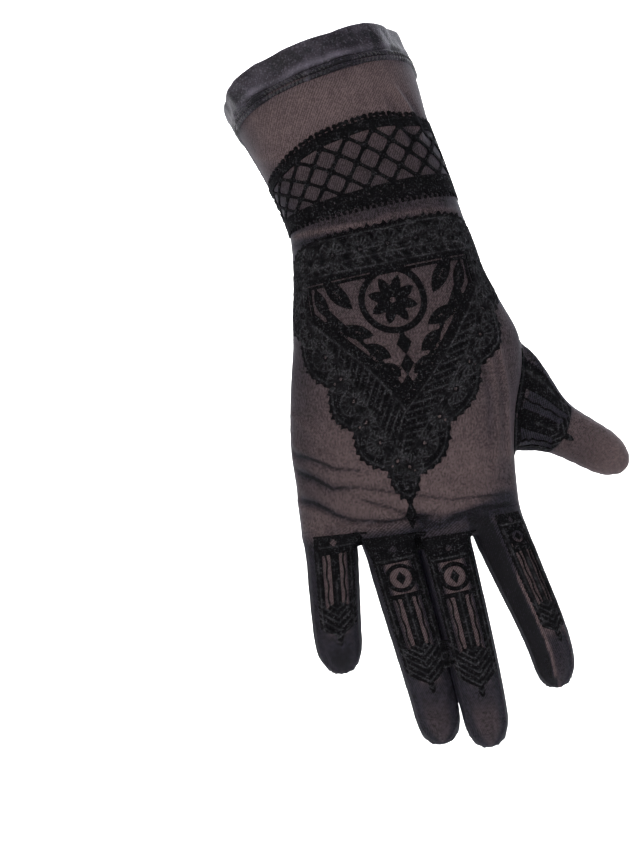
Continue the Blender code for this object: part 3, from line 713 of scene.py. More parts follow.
def joined_shape():
    """One closed skin of the whole glove, with soft crotches between the fingers, as a bmesh."""
    whole = hand_shape()
    for name in FINGERS:
        add_to(whole, finger_shape(name))
    add_to(whole, thumb_shape())
    mesh = bpy.data.meshes.new("joined")
    whole.to_mesh(mesh)
    whole.free()
    holder = bpy.data.objects.new("joined", mesh)
    bpy.context.scene.collection.objects.link(holder)
    remesh = holder.modifiers.new("remesh", "REMESH")
    remesh.mode = "VOXEL"
    remesh.voxel_size = VOXEL
    bpy.context.view_layer.update()
    graph = bpy.context.evaluated_depsgraph_get()
    skin = bmesh.new()
    skin.from_mesh(holder.evaluated_get(graph).to_mesh())
    bpy.data.objects.remove(holder)
    for _ in range(7):
        bmesh.ops.smooth_vert(skin, verts=skin.verts, factor=0.5, use_axis_x=True, use_axis_y=True, use_axis_z=True)
    return skin


def finger_of(points, spread=True):
    """For each point, the number of the finger that it belongs to if it lies below the knuckles."""
    number = np.zeros(len(points), int)
    for k in range(len(FINGERS) - 1):
        edges = []
        for name, side in ((FINGERS[k], 1), (FINGERS[k + 1], -1)):
            along = np.clip(knuckle_drop(points, name) / FINGER_TABLE[name][0], 0, 1)
            middle, _, _ = finger_middle(name, along)
            shift = spread_of(name, points) if spread else 0
            edges.append(middle[:, 0] + shift + side * FINGER_TABLE[name][1] / 2)
        number[points[:, 0] > (edges[0] + edges[1]) / 2] = k + 1
    return number


def close_fingers(points):
    """Takes the spread of the fingers out again."""
    number = finger_of(points)
    below = knuckle_drop(points, "ring") > -0.002
    own = on_thumb_side(points)
    for k, name in enumerate(FINGERS):
        here = (number == k) & below & ~own
        points[here, 0] -= spread_of(name, points[here])
    return points


def on_thumb_side(points):
    """Whether points belong to the thumb."""
    from_root = points - THUMB_CENTRE
    along = from_root @ THUMB_AXIS
    away = np.linalg.norm(from_root - along[:, None] * THUMB_AXIS, axis=1)
    return (along > 0.010) & (away < 0.024) & (points[:, 0] > 0.048)


def hand_coordinates(points):
    """The level and the angle of points on the hand."""
    levels = np.linspace(0, 2, 161)
    section = Sections(levels)
    across, deep = section.axes()
    normals = np.cross(across, deep)
    heights = (points[:, None, :] - section.centre[None]) @ np.zeros(3) if False else np.einsum(
        "pc,lc->pl", points, normals
    ) - np.einsum("lc,lc->l", section.centre, normals)
    above = heights > 0
    last = np.clip(above.shape[1] - 1 - np.argmax(above[:, ::-1] != above[:, -1:], axis=1), 1, len(levels) - 1)
    crossing = (above != above[:, -1:]).any(1)
    k = np.where(crossing, last, len(levels) - 1)
    before, after = heights[np.arange(len(points)), k - 1], heights[np.arange(len(points)), k]
    part = np.clip(before / np.where(np.abs(before - after) < 1e-9, 1e-9, before - after), 0, 1)
    level = levels[k - 1] + (levels[1] - levels[0]) * part
    own = Sections(level)
    across, deep = own.axes()
    offset = points - own.centre
    x = (offset * across).sum(1) / own.half_width
    y = ((offset * deep).sum(1) - own.arch * x * x) / own.half_depth
    power = SQUARENESS / 2
    return level, np.arctan2(np.sign(y) * np.abs(y) ** power, np.sign(x) * np.abs(x) ** power)


def beside_line(x, z, places):
    """The distance in millimetres from a line through places, and 1 along it falling to 0 at its ends."""
    legs = [math.dist(start, end) for start, end in zip(places, places[1:])]
    nearest, at, passed = np.full(x.shape, 1e9), np.zeros(x.shape), 0.0
    for (x0, z0), (x1, z1), leg in zip(places, places[1:], legs):
        t = np.clip(((x - x0) * (x1 - x0) + (z - z0) * (z1 - z0)) / leg**2, 0, 1)
        away = np.hypot(x - x0 - t * (x1 - x0), z - z0 - t * (z1 - z0))
        at = np.where(away < nearest, passed + t * leg, at)
        nearest = np.minimum(nearest, away)
        passed += leg
    return nearest, smooth_step(np.minimum(at, passed - at) / FOLD_END)


class GloveSizes(bpy.types.PropertyGroup):
    """Sizes of the finish that a user may change"""

    cloth_thickness: bpy.props.FloatProperty(
        name="Cloth", description="Thickness of the mesh cloth", default=0.00045, unit="LENGTH", precision=5
    )
    grain: bpy.props.FloatProperty(
        name="Grain", description="From hole to hole of the mesh", default=0.00105, unit="LENGTH", precision=5
    )
    pile: bpy.props.FloatProperty(
        name="Pile", description="Height of the flock", default=0.00045, unit="LENGTH", precision=5
    )
    fold_depth: bpy.props.FloatProperty(
        name="Folds", description="How strongly the folds stand out", default=1.25, min=0.0, max=2.0
    )
    seam_height: bpy.props.FloatProperty(
        name="Seams", description="How far the seams stand out", default=0.00045, unit="LENGTH", precision=5
    )
    net_line: bpy.props.FloatProperty(
        name="Net line", description="Breadth of the net's lines", default=0.00115, unit="LENGTH", precision=5
    )
    net_diamonds: bpy.props.IntProperty(name="Net", description="Diamonds round the wrist", default=18)
    pattern_step: bpy.props.FloatProperty(
        name="Fineness", description="Faces of the flocked trim", default=0.00045, unit="LENGTH", precision=5
    )


class GloveColours(bpy.types.PropertyGroup):
    """Colours of the finish"""

    mesh: bpy.props.FloatVectorProperty(
        name="Mesh", description="Stretched mesh", subtype="COLOR", default=(0.080, 0.056, 0.057)
    )
    # Mesh that isn't stretched; the painted shade in the cloth also blends towards this colour
    shut_and_shaded: bpy.props.FloatVectorProperty(
        name="Close mesh", description="Mesh that isn't stretched", subtype="COLOR", default=(0.0115, 0.0102, 0.0150)
    )
    flock: bpy.props.FloatVectorProperty(
        name="Flock", description="Depth of the pile", subtype="COLOR", default=(0.0026, 0.0026, 0.0030)
    )
    # Tips of the pile: paler fibres, partly painted glints where the pile catches the light
    fibre_ends_and_glints: bpy.props.FloatVectorProperty(
        name="Fibre ends", description="Tips of the pile", subtype="COLOR", default=(0.046, 0.045, 0.049)
    )
    hem: bpy.props.FloatVectorProperty(
        name="Hem", description="The folded cuff", subtype="COLOR", default=(0.0050, 0.0042, 0.0068)
    )
    # The colour of the painted bluish highlight where the folded cuff catches the light, not of wear
    hem_highlight: bpy.props.FloatVectorProperty(
        name="Hem in the light", description="The cuff's worn edges", subtype="COLOR", default=(0.088, 0.077, 0.100)
    )
    thread: bpy.props.FloatVectorProperty(
        name="Thread", description="Sewing thread", subtype="COLOR", default=(0.0050, 0.0046, 0.0062)
    )
    sheen: bpy.props.FloatVectorProperty(
        name="Sheen", description="Light on the cloth's edges", subtype="COLOR", default=(0.55, 0.55, 0.80)
    )
    mesh_yarn_cover: bpy.props.FloatProperty(
        name="Yarn cover", description="How much of the light the yarn stops", default=0.96, subtype="FACTOR"
    )
    mesh_hole_cover: bpy.props.FloatProperty(
        name="Hole cover", description="How much of the light a hole stops", default=0.78, subtype="FACTOR"
    )


def weave_on(shape, numbers, around, down, turns):
    """Writes the grain's map: holes round the limb and down it, for each corner, with no jump at the back seam."""
    layer = shape.loops.layers.uv.new("grain")
    for face in shape.faces:
        first = None
        for loop in face.loops:
            k = loop.vert.index
            u = around[k]
            if first is None:
                first = u
            u -= turns[numbers[k]] * round((u - first) / turns[numbers[k]])
            loop[layer].uv = (u, down[k])


class GLOVE_OT_mesh_cloth(bpy.types.Operator):
    """Makes the sheer mesh of the hand, the thumb and the fingers"""

    bl_idname = "glove.mesh_cloth"
    bl_label = "Mesh cloth"

    def execute(self, context):
        sizes, colours = context.scene.glove_sizes, context.scene.glove_colours
        skin = joined_shape()
        move_to(skin, close_fingers(places_of(skin)))
        for _ in range(2):
            bmesh.ops.smooth_vert(skin, verts=skin.verts, factor=0.5, use_axis_x=True, use_axis_y=True, use_axis_z=True)
        rim = Sections(level_of_drop(CLOTH_TOP))
        across, deep = rim.axes()
        up = Vector(np.cross(across, deep))
        everything = [*skin.verts, *skin.edges, *skin.faces]
        bmesh.ops.bisect_plane(
            skin, geom=everything, dist=1e-6, plane_co=Vector(rim.centre), plane_no=up, clear_outer=True
        )
        skin.verts.ensure_lookup_table()
        skin.verts.index_update()
        skin.normal_update()
        points = places_of(skin)
        normals = np.array([vert.normal[:] for vert in skin.verts])
        facts = cloth_facts(points, normals, sizes)
        move_to(skin, points + normals * facts["lift"][:, None])
        for name in ("closeness", "cover", "crease"):
            layer = skin.verts.layers.float.new(name)
            for vert, value in zip(skin.verts, facts[name]):
                vert[layer] = value
        weave_on(skin, facts["number"], facts["around"], facts["down"], facts["turns"])
        finish_material = sheer_mesh("sheer_mesh", colours)
        names = ["hand_body", "thumb", *(name + "_finger" for name in FINGERS)]
        for number, node in enumerate(names):
            part = skin.copy()
            other = [f for f in part.faces if max(facts["number"][v.index] for v in f.verts) != number]
            bmesh.ops.delete(part, geom=other, context="FACES")
            piece = thicken(new_piece(node + "_cloth", part, finish_material), sizes.cloth_thickness, False)
            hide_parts(node)
        skin.free()
        return {"FINISHED"}


def cloth_facts(points, normals, sizes):
    """For each point of the cloth: its piece, its place in the grain, how far it is lifted, and how little it is
    stretched open, with painted shade and painted highlights added in.
    """
    count = len(points)
    level, angle = hand_coordinates(points)
    share = share_at(angle, level)
    number = np.zeros(count, int)
    around = share * round(0.190 / sizes.grain)
    down = drop_of_level(level) / sizes.grain
    turns = {0: round(0.190 / sizes.grain)}
    lift, close_and_shaded = np.zeros(count), np.zeros(count)

    x, z = points[:, 0] / MM, points[:, 2] / MM
    back = smooth_step((-normals[:, 1] - 0.05) / 0.4)
    crease = np.full(count, CREASE_END)
    for height, breadth, fold_shade, places in FOLDS:
        away, strength = beside_line(x, z, places)
        bell = np.exp(-((away / breadth) ** 2)) * back * strength
        lift += sizes.fold_depth * height * MM * bell
        # Painted shade along the folds' valleys and painted highlight along their ridges
        close_and_shaded += 0.7 * fold_shade * bell
        # The distance from the folds' sharp lines, where the finish paints crease shade
        if fold_shade >= CREASED:
            crease = np.minimum(crease, away + CREASE_END * (1 - strength * back))
    from_middle = (share + 0.5) % 1.0 - 0.5
    for side, reach in ((-1, 0.262), (1, 0.262)):
        away = (from_middle - side * reach) * way_round(level)
        lift += sizes.seam_height * np.exp(-((away / 0.0009) ** 2))
        close_and_shaded += 0.45 * np.exp(-((away / 0.0010) ** 2))
    aside = np.minimum(np.abs(from_middle), 0.5 - np.abs(from_middle))
    by_drop = np.interp(drop_of_level(level) / MM, *np.array(CLOSENESS_AND_SHADE_BY_DROP).T)
    # Darker towards the hand's sides: partly cloth less stretched there, partly painted shade where the hand turns away
    # from the light
    close_and_shaded += by_drop + 0.45 * (1 - by_drop) * smooth_step((aside - 0.10) / 0.12)
    palm_side = smooth_step((np.abs(from_middle) - 0.29) / 0.05)
    close_and_shaded += 0.45 * palm_side * smooth_step((drop_of_level(level) - 0.140) / 0.030)
    cover = 0.9 * smooth_step((DENSE_ABOVE - drop_of_level(level)) / 0.020)

    thumb = on_thumb_side(points)
    offset = points[thumb] - THUMB_CENTRE
    along = offset @ THUMB_AXIS
    turn = np.arctan2(offset @ THUMB_DEEP, offset @ THUMB_WIDE)
    number[thumb] = 1
    turns[1] = round(math.pi * THUMB_WIDTH / sizes.grain)
    around[thumb] = (turn / (2 * math.pi)) * turns[1]
    down[thumb] = along / sizes.grain
    for side in (0.0, math.pi):
        away = np.angle(np.exp(1j * (turn - side))) * THUMB_WIDTH / 2
        lift[thumb] += sizes.seam_height * 0.8 * np.exp(-((away / 0.0008) ** 2))
    share_along = along / THUMB_LENGTH
    close_and_shaded[thumb] = 0.95 - 0.52 * smooth_step((share_along - 0.46) / 0.06)
    close_and_shaded[thumb] -= 0.36 * smooth_step((share_along - 0.60) / 0.35)
    cover[thumb] = 0.95 * smooth_step((0.52 - share_along) / 0.06)
    for side in (0.0, math.pi):
        away = np.angle(np.exp(1j * (turn - side))) * THUMB_WIDTH / 2
        close_and_shaded[thumb] += 0.2 * np.exp(-(((np.abs(away) - 0.0014) / 0.0008) ** 2))

    which = finger_of(points, spread=False)
    for k, name in enumerate(FINGERS):
        drop = knuckle_drop(points, name)
        here = (which == k) & (drop > 0) & ~thumb & (level > 1.9)
        length = FINGER_TABLE[name][0]
        middle, half_width, half_depth = finger_middle(name, np.clip(drop[here] / length, 0, 0.9))
        turn = np.arctan2((points[here, 1] - middle[:, 1]) / half_depth, (points[here, 0] - middle[:, 0]) / half_width)
        number[here] = k + 2
        turns[k + 2] = round(math.pi * FINGER_TABLE[name][1] / sizes.grain)
        around[here] = turn / (2 * math.pi) * turns[k + 2]
        down[here] = drop[here] / sizes.grain
        from_back = np.abs(np.angle(np.exp(1j * (turn + math.pi / 2))))
        start = smooth_step(drop[here] / 0.008)
        lift[here] *= 1 - start
        close_and_shaded[here] = close_and_shaded[here] * (1 - start) + 0.84 * start
        for seam in (0.95, 1.95):
            away = (from_back - seam) * FINGER_TABLE[name][1] / 2
            lift[here] += sizes.seam_height * start * np.exp(-((away / 0.0008) ** 2))
            # Painted highlight along each seam's ridge, and painted shade just beside it
            painted_lightness = 0.55 if name == "index" else 0.28
            close_and_shaded[here] -= painted_lightness * start * np.exp(-((away / 0.0008) ** 2))
            close_and_shaded[here] += 0.25 * start * np.exp(-(((np.abs(away) - 0.0015) / 0.0008) ** 2))
        # Darker down the fingers' sides: partly cloth less stretched there, partly painted shade
        close_and_shaded[here] += 0.60 * start * smooth_step((from_back - 0.80) / 0.3) * smooth_step((2.15 - from_back) / 0.3)
        share_down = drop[here] / length
        tip = smooth_step((share_down - 0.74) / 0.12) * smooth_step((0.70 - from_back) / 0.35)
        shift = FINGER_STRIPS[name][-1] * MM / (FINGER_TABLE[name][1] / 2)
        middle_of_back = smooth_step((0.55 - np.abs(np.angle(np.exp(1j * (turn + math.pi / 2 - shift))))) / 0.2)
        close_and_shaded[here] -= TIP_LIGHTER[name] * tip
        cover[here] = 0.97 * start * (1 - tip * (TIP_LIGHTER[name] > 0))
        if name == "index":
            from_ridge = np.angle(np.exp(1j * (turn + math.pi / 2 - INDEX_RIDGE))) * FINGER_TABLE[name][1] / 2
            below = smooth_step((share_down - 0.28) / 0.12)
            # Painted shade on the side of the ridge away from the thumb, and painted highlight along the ridge
            close_and_shaded[here] += 0.7 * smooth_step(-from_ridge / 0.0012)
            close_and_shaded[here] -= 0.85 * below * np.exp(-((from_ridge / 0.0009) ** 2))
            lift[here] += sizes.seam_height * below * np.exp(-((from_ridge / 0.0009) ** 2))
        below_block = 1 if name == "little" else smooth_step((drop[here] - 0.011) / 0.003)
        close_and_shaded[here] -= 0.50 * start * below_block * middle_of_back * smooth_step((0.74 - share_down) / 0.1)
    return {
        "number": number, "around": around, "down": down, "turns": turns, "lift": lift,
        "closeness": np.clip(close_and_shaded, 0, 1.5), "cover": cover, "crease": crease,
    }


HEM_OUTLINE = (
    # down as a share of the hem's height, proud in millimetres, painted lightness: + a painted bluish highlight, −
    # darker along the stitched ridges
    (0.000, -0.60, 0.0), (0.012, -0.10, 0.2), (0.045, 0.30, 0.4), (0.120, 0.42, 0.1), (0.260, 0.36, 0.0),
    (0.400, 0.38, 0.0), (0.500, 0.50, 0.1), (0.570, 0.72, 0.6), (0.630, 0.74, 0.9), (0.690, 0.35, 0.3),
    (0.720, 0.15, -0.6), (0.745, 0.60, -0.4), (0.780, 1.10, -0.1), (0.825, 1.06, -0.3), (0.850, 0.46, -0.6),
    (0.868, 0.20, -0.8), (0.886, 0.50, -0.6), (0.912, 1.06, -0.1), (0.955, 1.04, -0.2), (0.985, 0.52, -0.5),
    (1.000, 0.05, 0.0), (0.985, -0.95, 0.0), (0.700, -1.25, 0.0), (0.400, -1.35, 0.0), (0.060, -1.25, 0.1),
    (0.012, -1.05, 0.1),
)
HEM_WAVES = (
    # waves round the hem, height in millimetres, start of the wave, slant down the hem
    (5, 0.28, 0.7, 1.0), (8, 0.24, 2.4, -2.0), (13, 0.19, 4.0, 2.6), (21, 0.12, 1.0, -3.0), (37, 0.05, 3.0, 2.0),
)


class GLOVE_OT_cuff_hem(bpy.types.Operator):
    """Makes the double folded hem of the cuff, with the two ridges that its stitching raises"""

    bl_idname = "glove.cuff_hem"
    bl_label = "Cuff hem"

    def execute(self, context):
        sizes, colours = context.scene.glove_sizes, context.scene.glove_colours
        down, proud, painted_lightness = np.array(HEM_OUTLINE).T
        count, around = len(down), 320
        grid = unit_grid(around, count)
        flat = places_of(grid)
        row = np.round(flat[:, 1] * count).astype(int) % count
        angle = 2 * math.pi * flat[:, 0]
        ripple = sum(high * np.sin(n * angle + at + slant * down[row]) for n, high, at, slant in HEM_WAVES)
        rise = 0.25 * np.sin(4 * angle + 1.0) + 0.15 * np.sin(9 * angle)
        drop = HEM_HEIGHT * down[row] + rise * MM * (1 - down[row])
        points = hand_edge(angle, np.maximum(level_of_drop(np.maximum(drop, 0)), 0), (proud[row] + ripple) * MM)
        move_to(grid, points)
        streak = grid.verts.layers.float.new("streak")
        # The painted highlight is stronger round some of the hem and on the crests of its ripples
        highlight_patches = 0.75 + 0.55 * np.sin(3 * angle + 0.6) + 1.3 * ripple
        for vert, value in zip(grid.verts, painted_lightness[row] * highlight_patches):
            vert[streak] = value
        layer = grid.loops.layers.uv.new("grain")
        length = np.concatenate(([0], np.cumsum(np.hypot(np.diff(down) * HEM_HEIGHT, np.diff(proud) * MM))))
        turns = round(0.190 / sizes.grain)
        for face in grid.faces:
            for loop in face.loops:
                x, y = flat[loop.vert.index][:2]
                k = min(int(round(y * count)), count - 1)
                loop[layer].uv = (x * turns, length[k] / sizes.grain)
        bmesh.ops.remove_doubles(grid, verts=grid.verts, dist=1e-6)
        bmesh.ops.recalc_face_normals(grid, faces=grid.faces)
        piece = new_piece("cuff_hem_cloth", grid, folded_hem_cloth("hem_cloth", colours))
        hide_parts("cuff_hem")
        self.stitches(colours)
        return {"FINISHED"}

    def stitches(self, colours):
        """Short slanted stitches over the two ridges."""
        thread = bmesh.new()
        count = 130
        for k in range(count):
            share = (k + 0.5) / count
            for drop, slant in ((0.81, 1), (0.935, -1)):
                add_stitch(thread, share, drop * HEM_HEIGHT, slant)
        piece = new_piece("hem_stitches", thread, sewing_thread("sewing_thread", colours))


def add_stitch(shape, share, drop, slant):
    """One stitch, a small bar with round ends laid slanting on the hem."""
    level = level_of_drop(drop)
    angle = angle_at(np.array([share, share + 0.002]), np.array([level, level]))
    here, beside = hand_edge(angle, np.array([level, level]), 0.00086)
    below = hand_edge(angle[:1], np.array([level_of_drop(drop + 0.001)]), 0.00086)[0]
    along, down = unit(beside - here), unit(below - here)
    lie = unit(down * 0.9 + along * 0.55 * slant)
    out = np.cross(along, down)
    side = np.cross(out, lie)
    turned = Matrix(np.column_stack([side, lie, out]).tolist()).to_4x4()
    made = bmesh.ops.create_uvsphere(shape, u_segments=6, v_segments=5, radius=1.0)
    bmesh.ops.rotate(shape, verts=made["verts"], cent=(0, 0, 0), matrix=Matrix.Rotation(math.pi / 2, 3, "X"))
    bmesh.ops.scale(shape, verts=made["verts"], vec=(0.00030, 0.00088, 0.00022))
    bmesh.ops.transform(shape, verts=made["verts"], matrix=Matrix.Translation(here) @ turned)


# Flat patterns. Each takes arrays in millimetres and gives how far inside the flock a place lies
VEIN = 0.30  # half breadth of the lines pressed into the pile


def disc(x, y, radius):
    return radius - np.hypot(x, y)


def bar(x, y, start, end, breadth):
    (x0, y0), (x1, y1) = start, end
    length = (x1 - x0) ** 2 + (y1 - y0) ** 2
    t = np.clip(((x - x0) * (x1 - x0) + (y - y0) * (y1 - y0)) / length, 0, 1)
    return breadth / 2 - np.hypot(x - x0 - t * (x1 - x0), y - y0 - t * (y1 - y0))


def leaf(x, y, centre, turn, length, breadth):
    """A pointed leaf: where two discs overlap."""
    cos, sin = math.cos(turn), math.sin(turn)
    along = (x - centre[0]) * cos + (y - centre[1]) * sin
    across = (y - centre[1]) * cos - (x - centre[0]) * sin
    radius = (length**2 + breadth**2) / (4 * breadth)
    away = radius - breadth / 2
    return np.minimum(disc(along, across - away, radius), disc(along, across + away, radius))


def lozenge(x, y, centre, wide, tall):
    return (1 - np.abs(x - centre[0]) / wide - np.abs(y - centre[1]) / tall) * wide * tall / math.hypot(wide, tall)


def whole(*parts):
    return np.maximum.reduce(parts)


def cut(part, *windows):
    return np.minimum.reduce([part, *(-window for window in windows)])


def repeated(x, pitch):
    """The place in the nearest of a row of copies."""
    return (x / pitch - np.round(x / pitch)) * pitch


def cut_flat(pattern, low, high, step, veins=None):
    """A flat sheet of small faces, cut to the pattern's outline, with fine lines marked on it."""
    size = np.array(high) - np.array(low)
    across, down = (int(round(length / step)) for length in size)
    grid = unit_grid(across, down)
    flat = places_of(grid)[:, :2] * size + np.array(low)
    x, y = flat.T
    value = pattern(x, y)
    tiny = step / 5
    slope = np.stack([pattern(x + tiny, y) - pattern(x - tiny, y), pattern(x, y + tiny) - pattern(x, y - tiny)], -1)
    slope /= 2 * tiny
    steep = np.maximum((slope**2).sum(1), 0.05)
    shift = -(np.minimum(value, 0) / steep)[:, None] * slope
    shift *= np.minimum(1, step / np.maximum(np.linalg.norm(shift, axis=1), 1e-9))[:, None]
    flat = flat + shift
    grid.verts.index_update()
    kept = value > 0.12 * step
    outside = [face for face in grid.faces if not any(kept[vert.index] for vert in face.verts)]
    move_to(grid, np.column_stack([flat, np.zeros(len(flat))]))
    if veins:
        layer = grid.verts.layers.float.new("vein")
        for vert, away in zip(grid.verts, veins(*flat.T)):
            vert[layer] = math.exp(-((away / VEIN) ** 2))
    bmesh.ops.delete(grid, geom=outside, context="FACES")
    return grid


def cloth_tree():
    """The outer skin of the mesh cloth, for laying trim on it."""
    points, faces = [], []
    for piece in bpy.data.objects:
        if piece.name.endswith(("_cloth",)) and "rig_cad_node" not in piece:
            first = len(points)
            points += [vert.co[:] for vert in piece.data.vertices]
            faces += [[first + k for k in face.vertices] for face in piece.data.polygons]
    return BVHTree.FromPolygons(points, faces)


def lay_on_cloth(shape, place, tree, lift):
    """Bends a flat pattern over the cloth."""
    x, y = places_of(shape)[:, :2].T * MM
    ground, above = place(x, y, 0.0), place(x, y, 0.001)
    out = unit(above - ground)
    laid = []
    for start, direction in zip(ground + out * 0.006, out):
        hit, _, _, _ = tree.ray_cast(Vector(start), Vector(-direction), 0.012)
        laid.append(np.array(hit) if hit is not None else start - direction * 0.006)
    move_to(shape, np.array(laid) + out * lift)
    bmesh.ops.remove_doubles(shape, verts=shape.verts, dist=1e-5)
    bmesh.ops.dissolve_degenerate(shape, edges=shape.edges, dist=1e-6)
    shape.normal_update()
    face = max(shape.faces, key=lambda face: face.calc_area())
    middle = int(np.argmin(np.linalg.norm(np.array(laid) - np.array(face.calc_center_median()), axis=1)))
    if face.normal.dot(Vector(out[middle])) < 0:
        bmesh.ops.reverse_faces(shape, faces=shape.faces)


def flocked_piece(name, pattern, low, high, place, context, tree, replaced, step=None, veins=None):
    sizes = context.scene.glove_sizes
    shape = cut_flat(pattern, low, high, (step or sizes.pattern_step) / MM, veins)
    lay_on_cloth(shape, place, tree, 0.00003)
    material = bpy.data.materials.get("velvet_flock") or velvet_flock("velvet_flock", context.scene.glove_colours)
    piece = thicken(new_piece(name, shape, material), sizes.pile, True)
    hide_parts(replaced)
    return piece


BAND_FOOT = CUFF_DROP / MM
LOWER_BORDER, NET_HEIGHT, UPPER_BORDER = 7.8, 17.5, 5.6
BAND_ROUND = 168.0  # the way round the wrist that the band is drawn for
PICOTS = 80
NET_FILLET = 1.3  # breadth over which the net's lines run into each other
BAND_SAG = 5.0  # how far the band's upper edge hangs at the sides
PICOT_PITCH = BAND_ROUND / PICOTS


def on_band(x, y, proud):
    """A place of the band's flat drawing, which goes once round the wrist, its upper edge hanging at the sides."""
    share = x / (BAND_ROUND * MM)
    aside = smooth_step((np.minimum(np.abs(share), 0.5 - np.abs(share)) - 0.03) / 0.20)
    up = np.clip((y / MM + BAND_FOOT - LOWER_BORDER) / (NET_HEIGHT + UPPER_BORDER), 0, 1)
    level = level_of_drop(-y + BAND_SAG * MM * aside * up)
    return hand_edge(angle_at(share, level), level, proud)


def upper_border_pattern(x, y):
    """A row of picot dots, a thin line and a broad line."""
    top = -(BAND_FOOT - LOWER_BORDER - NET_HEIGHT - UPPER_BORDER)
    line = 1.15 - np.abs(y - (top - 4.3))
    thin = 0.36 - np.abs(y - (top - 2.2))
    dots = disc(repeated(x, PICOT_PITCH), y - (top - 0.85), 0.78)
    links = np.minimum(0.50 - np.abs(repeated(x, PICOT_PITCH)), 1.2 - np.abs(y - (top - 2.0)))
    return whole(line, thin, dots, links)


def lower_border_pattern(x, y):
    """A broad line with a row of pinholes, and picot dots under it."""
    top = -(BAND_FOOT - LOWER_BORDER)
    line = 2.45 - np.abs(y - (top - 2.45))
    holes = disc(repeated(x, PICOT_PITCH * 2), y - (top - 2.1), 0.42)
    teeth = disc(repeated(x + PICOT_PITCH / 2, PICOT_PITCH), y - (top - 5.0), 0.62)
    dots = disc(repeated(x, PICOT_PITCH), y - (top - 6.5), 0.60)
    links = np.minimum(0.26 - np.abs(repeated(x, PICOT_PITCH)), 1.0 - np.abs(y - (top - 5.6)))
    return whole(cut(line, holes), teeth, links, dots)


def net_pattern(line, diamonds):
    top = -(BAND_FOOT - LOWER_BORDER - NET_HEIGHT)
    pitch = BAND_ROUND / diamonds
    row = NET_HEIGHT / 2

    def pattern(x, y):
        a, b = x / pitch, (y - top) / row
        scale = pitch * row / math.hypot(pitch, row)
        rising = line / 2 - np.abs(repeated(a + b, 1.0)) * scale
        falling = line / 2 - np.abs(repeated(a - b, 1.0)) * scale
        gap = np.abs(rising - falling) / NET_FILLET
        return whole(rising, falling) + NET_FILLET / 4 * np.maximum(1 - gap, 0) ** 2

    return pattern


class GLOVE_OT_wrist_band(bpy.types.Operator):
    """Makes the flocked net round the wrist and its two picot borders"""

    bl_idname = "glove.wrist_band"
    bl_label = "Wrist band"

    def execute(self, context):
        sizes = context.scene.glove_sizes
        tree = cloth_tree()
        half = BAND_ROUND / 2
        foot, net_foot = -BAND_FOOT, -BAND_FOOT + LOWER_BORDER
        net_top = net_foot + NET_HEIGHT
        top = net_top + UPPER_BORDER
        net = net_pattern(sizes.net_line / MM, sizes.net_diamonds)
        for name, pattern, low, high, node in (
            ("upper_picot_border", upper_border_pattern, net_top, top, "upper_border"),
            ("wrist_net", net, net_foot - 0.4, net_top + 0.4, "lattice_band"),
            ("lower_picot_border", lower_border_pattern, foot, net_foot, "lower_border"),
        ):
            flocked_piece(name, pattern, (-half, low), (half, high), on_band, context, tree, node)
        return {"FINISHED"}


PANEL_WIDTH, PANEL_HEIGHT, PANEL_HEART, PANEL_DROP = 83.6, 98.0, 0.30, 4.5
PANEL_SHOULDER, PANEL_POINT = 5.0, 1.2
PANEL_SCALLOPS, SCALLOP_HEIGHT, SCALLOPS_END = 14, 3.8, 0.5
PANEL_CENTRE_DROP = BAND_FOOT + PANEL_DROP + PANEL_HEIGHT * PANEL_HEART
FIELD_TOP, FIELD_CORNER, FIELD_FOOT = 14.2, (31.5, 3.0), -35.0
FAN_FOOT = 7.0  # how far inside the edge the scallops' fans start


def panel_edge(count=721):
    """Places on the panel's edge at equal steps, without the scallops, its outward normals and its length."""
    angle = np.linspace(0, 2 * math.pi, 4 * count)
    cos, sin = np.cos(angle), np.sin(angle)
    power = np.where(sin >= 0, PANEL_SHOULDER, PANEL_POINT)
    tall = np.where(sin >= 0, PANEL_HEIGHT * PANEL_HEART, PANEL_HEIGHT * (1 - PANEL_HEART))
    reach = 1 / ((np.abs(cos) / (PANEL_WIDTH / 2)) ** power + (np.abs(sin) / tall) ** power) ** (1 / power)
    places = reach[:, None] * np.column_stack([cos, sin])
    run = np.concatenate(([0.0], np.cumsum(np.linalg.norm(np.diff(places, axis=0), axis=1))))
    even = np.linspace(0, run[-1], count)[:-1]
    places = np.column_stack([np.interp(even, run, places[:, k]) for k in (0, 1)])
    along = unit(np.roll(places, -1, axis=0) - np.roll(places, 1, axis=0))
    return places, np.column_stack([along[:, 1], -along[:, 0]]), run[-1]


EDGE_PLACES, EDGE_NORMALS, EDGE_LENGTH = panel_edge()


def beside_edge(x, y):
    """How far along the panel's edge a place lies, how far inside it, and how far the scallops stand out there."""
    spots = np.column_stack([x, y])
    nearest = np.concatenate([
        ((part[:, None, :] - EDGE_PLACES[None]) ** 2).sum(2).argmin(1)
        for part in np.array_split(spots, max(1, len(spots) // 4000))
    ])
    offset, normal = spots - EDGE_PLACES[nearest], EDGE_NORMALS[nearest]
    depth = -(offset * normal).sum(1)
    step = EDGE_LENGTH / len(EDGE_PLACES)
    along = nearest * step + np.clip(offset[:, 1] * normal[:, 0] - offset[:, 0] * normal[:, 1], -step, step)
    share = along / EDGE_LENGTH
    sine = EDGE_PLACES[nearest, 1] / np.hypot(*EDGE_PLACES[nearest].T)
    scallop = (np.abs(np.cos(math.pi * PANEL_SCALLOPS * share)) - 0.5) * (1 - smooth_step(sine / SCALLOPS_END))
    return along, depth, scallop * SCALLOP_HEIGHT


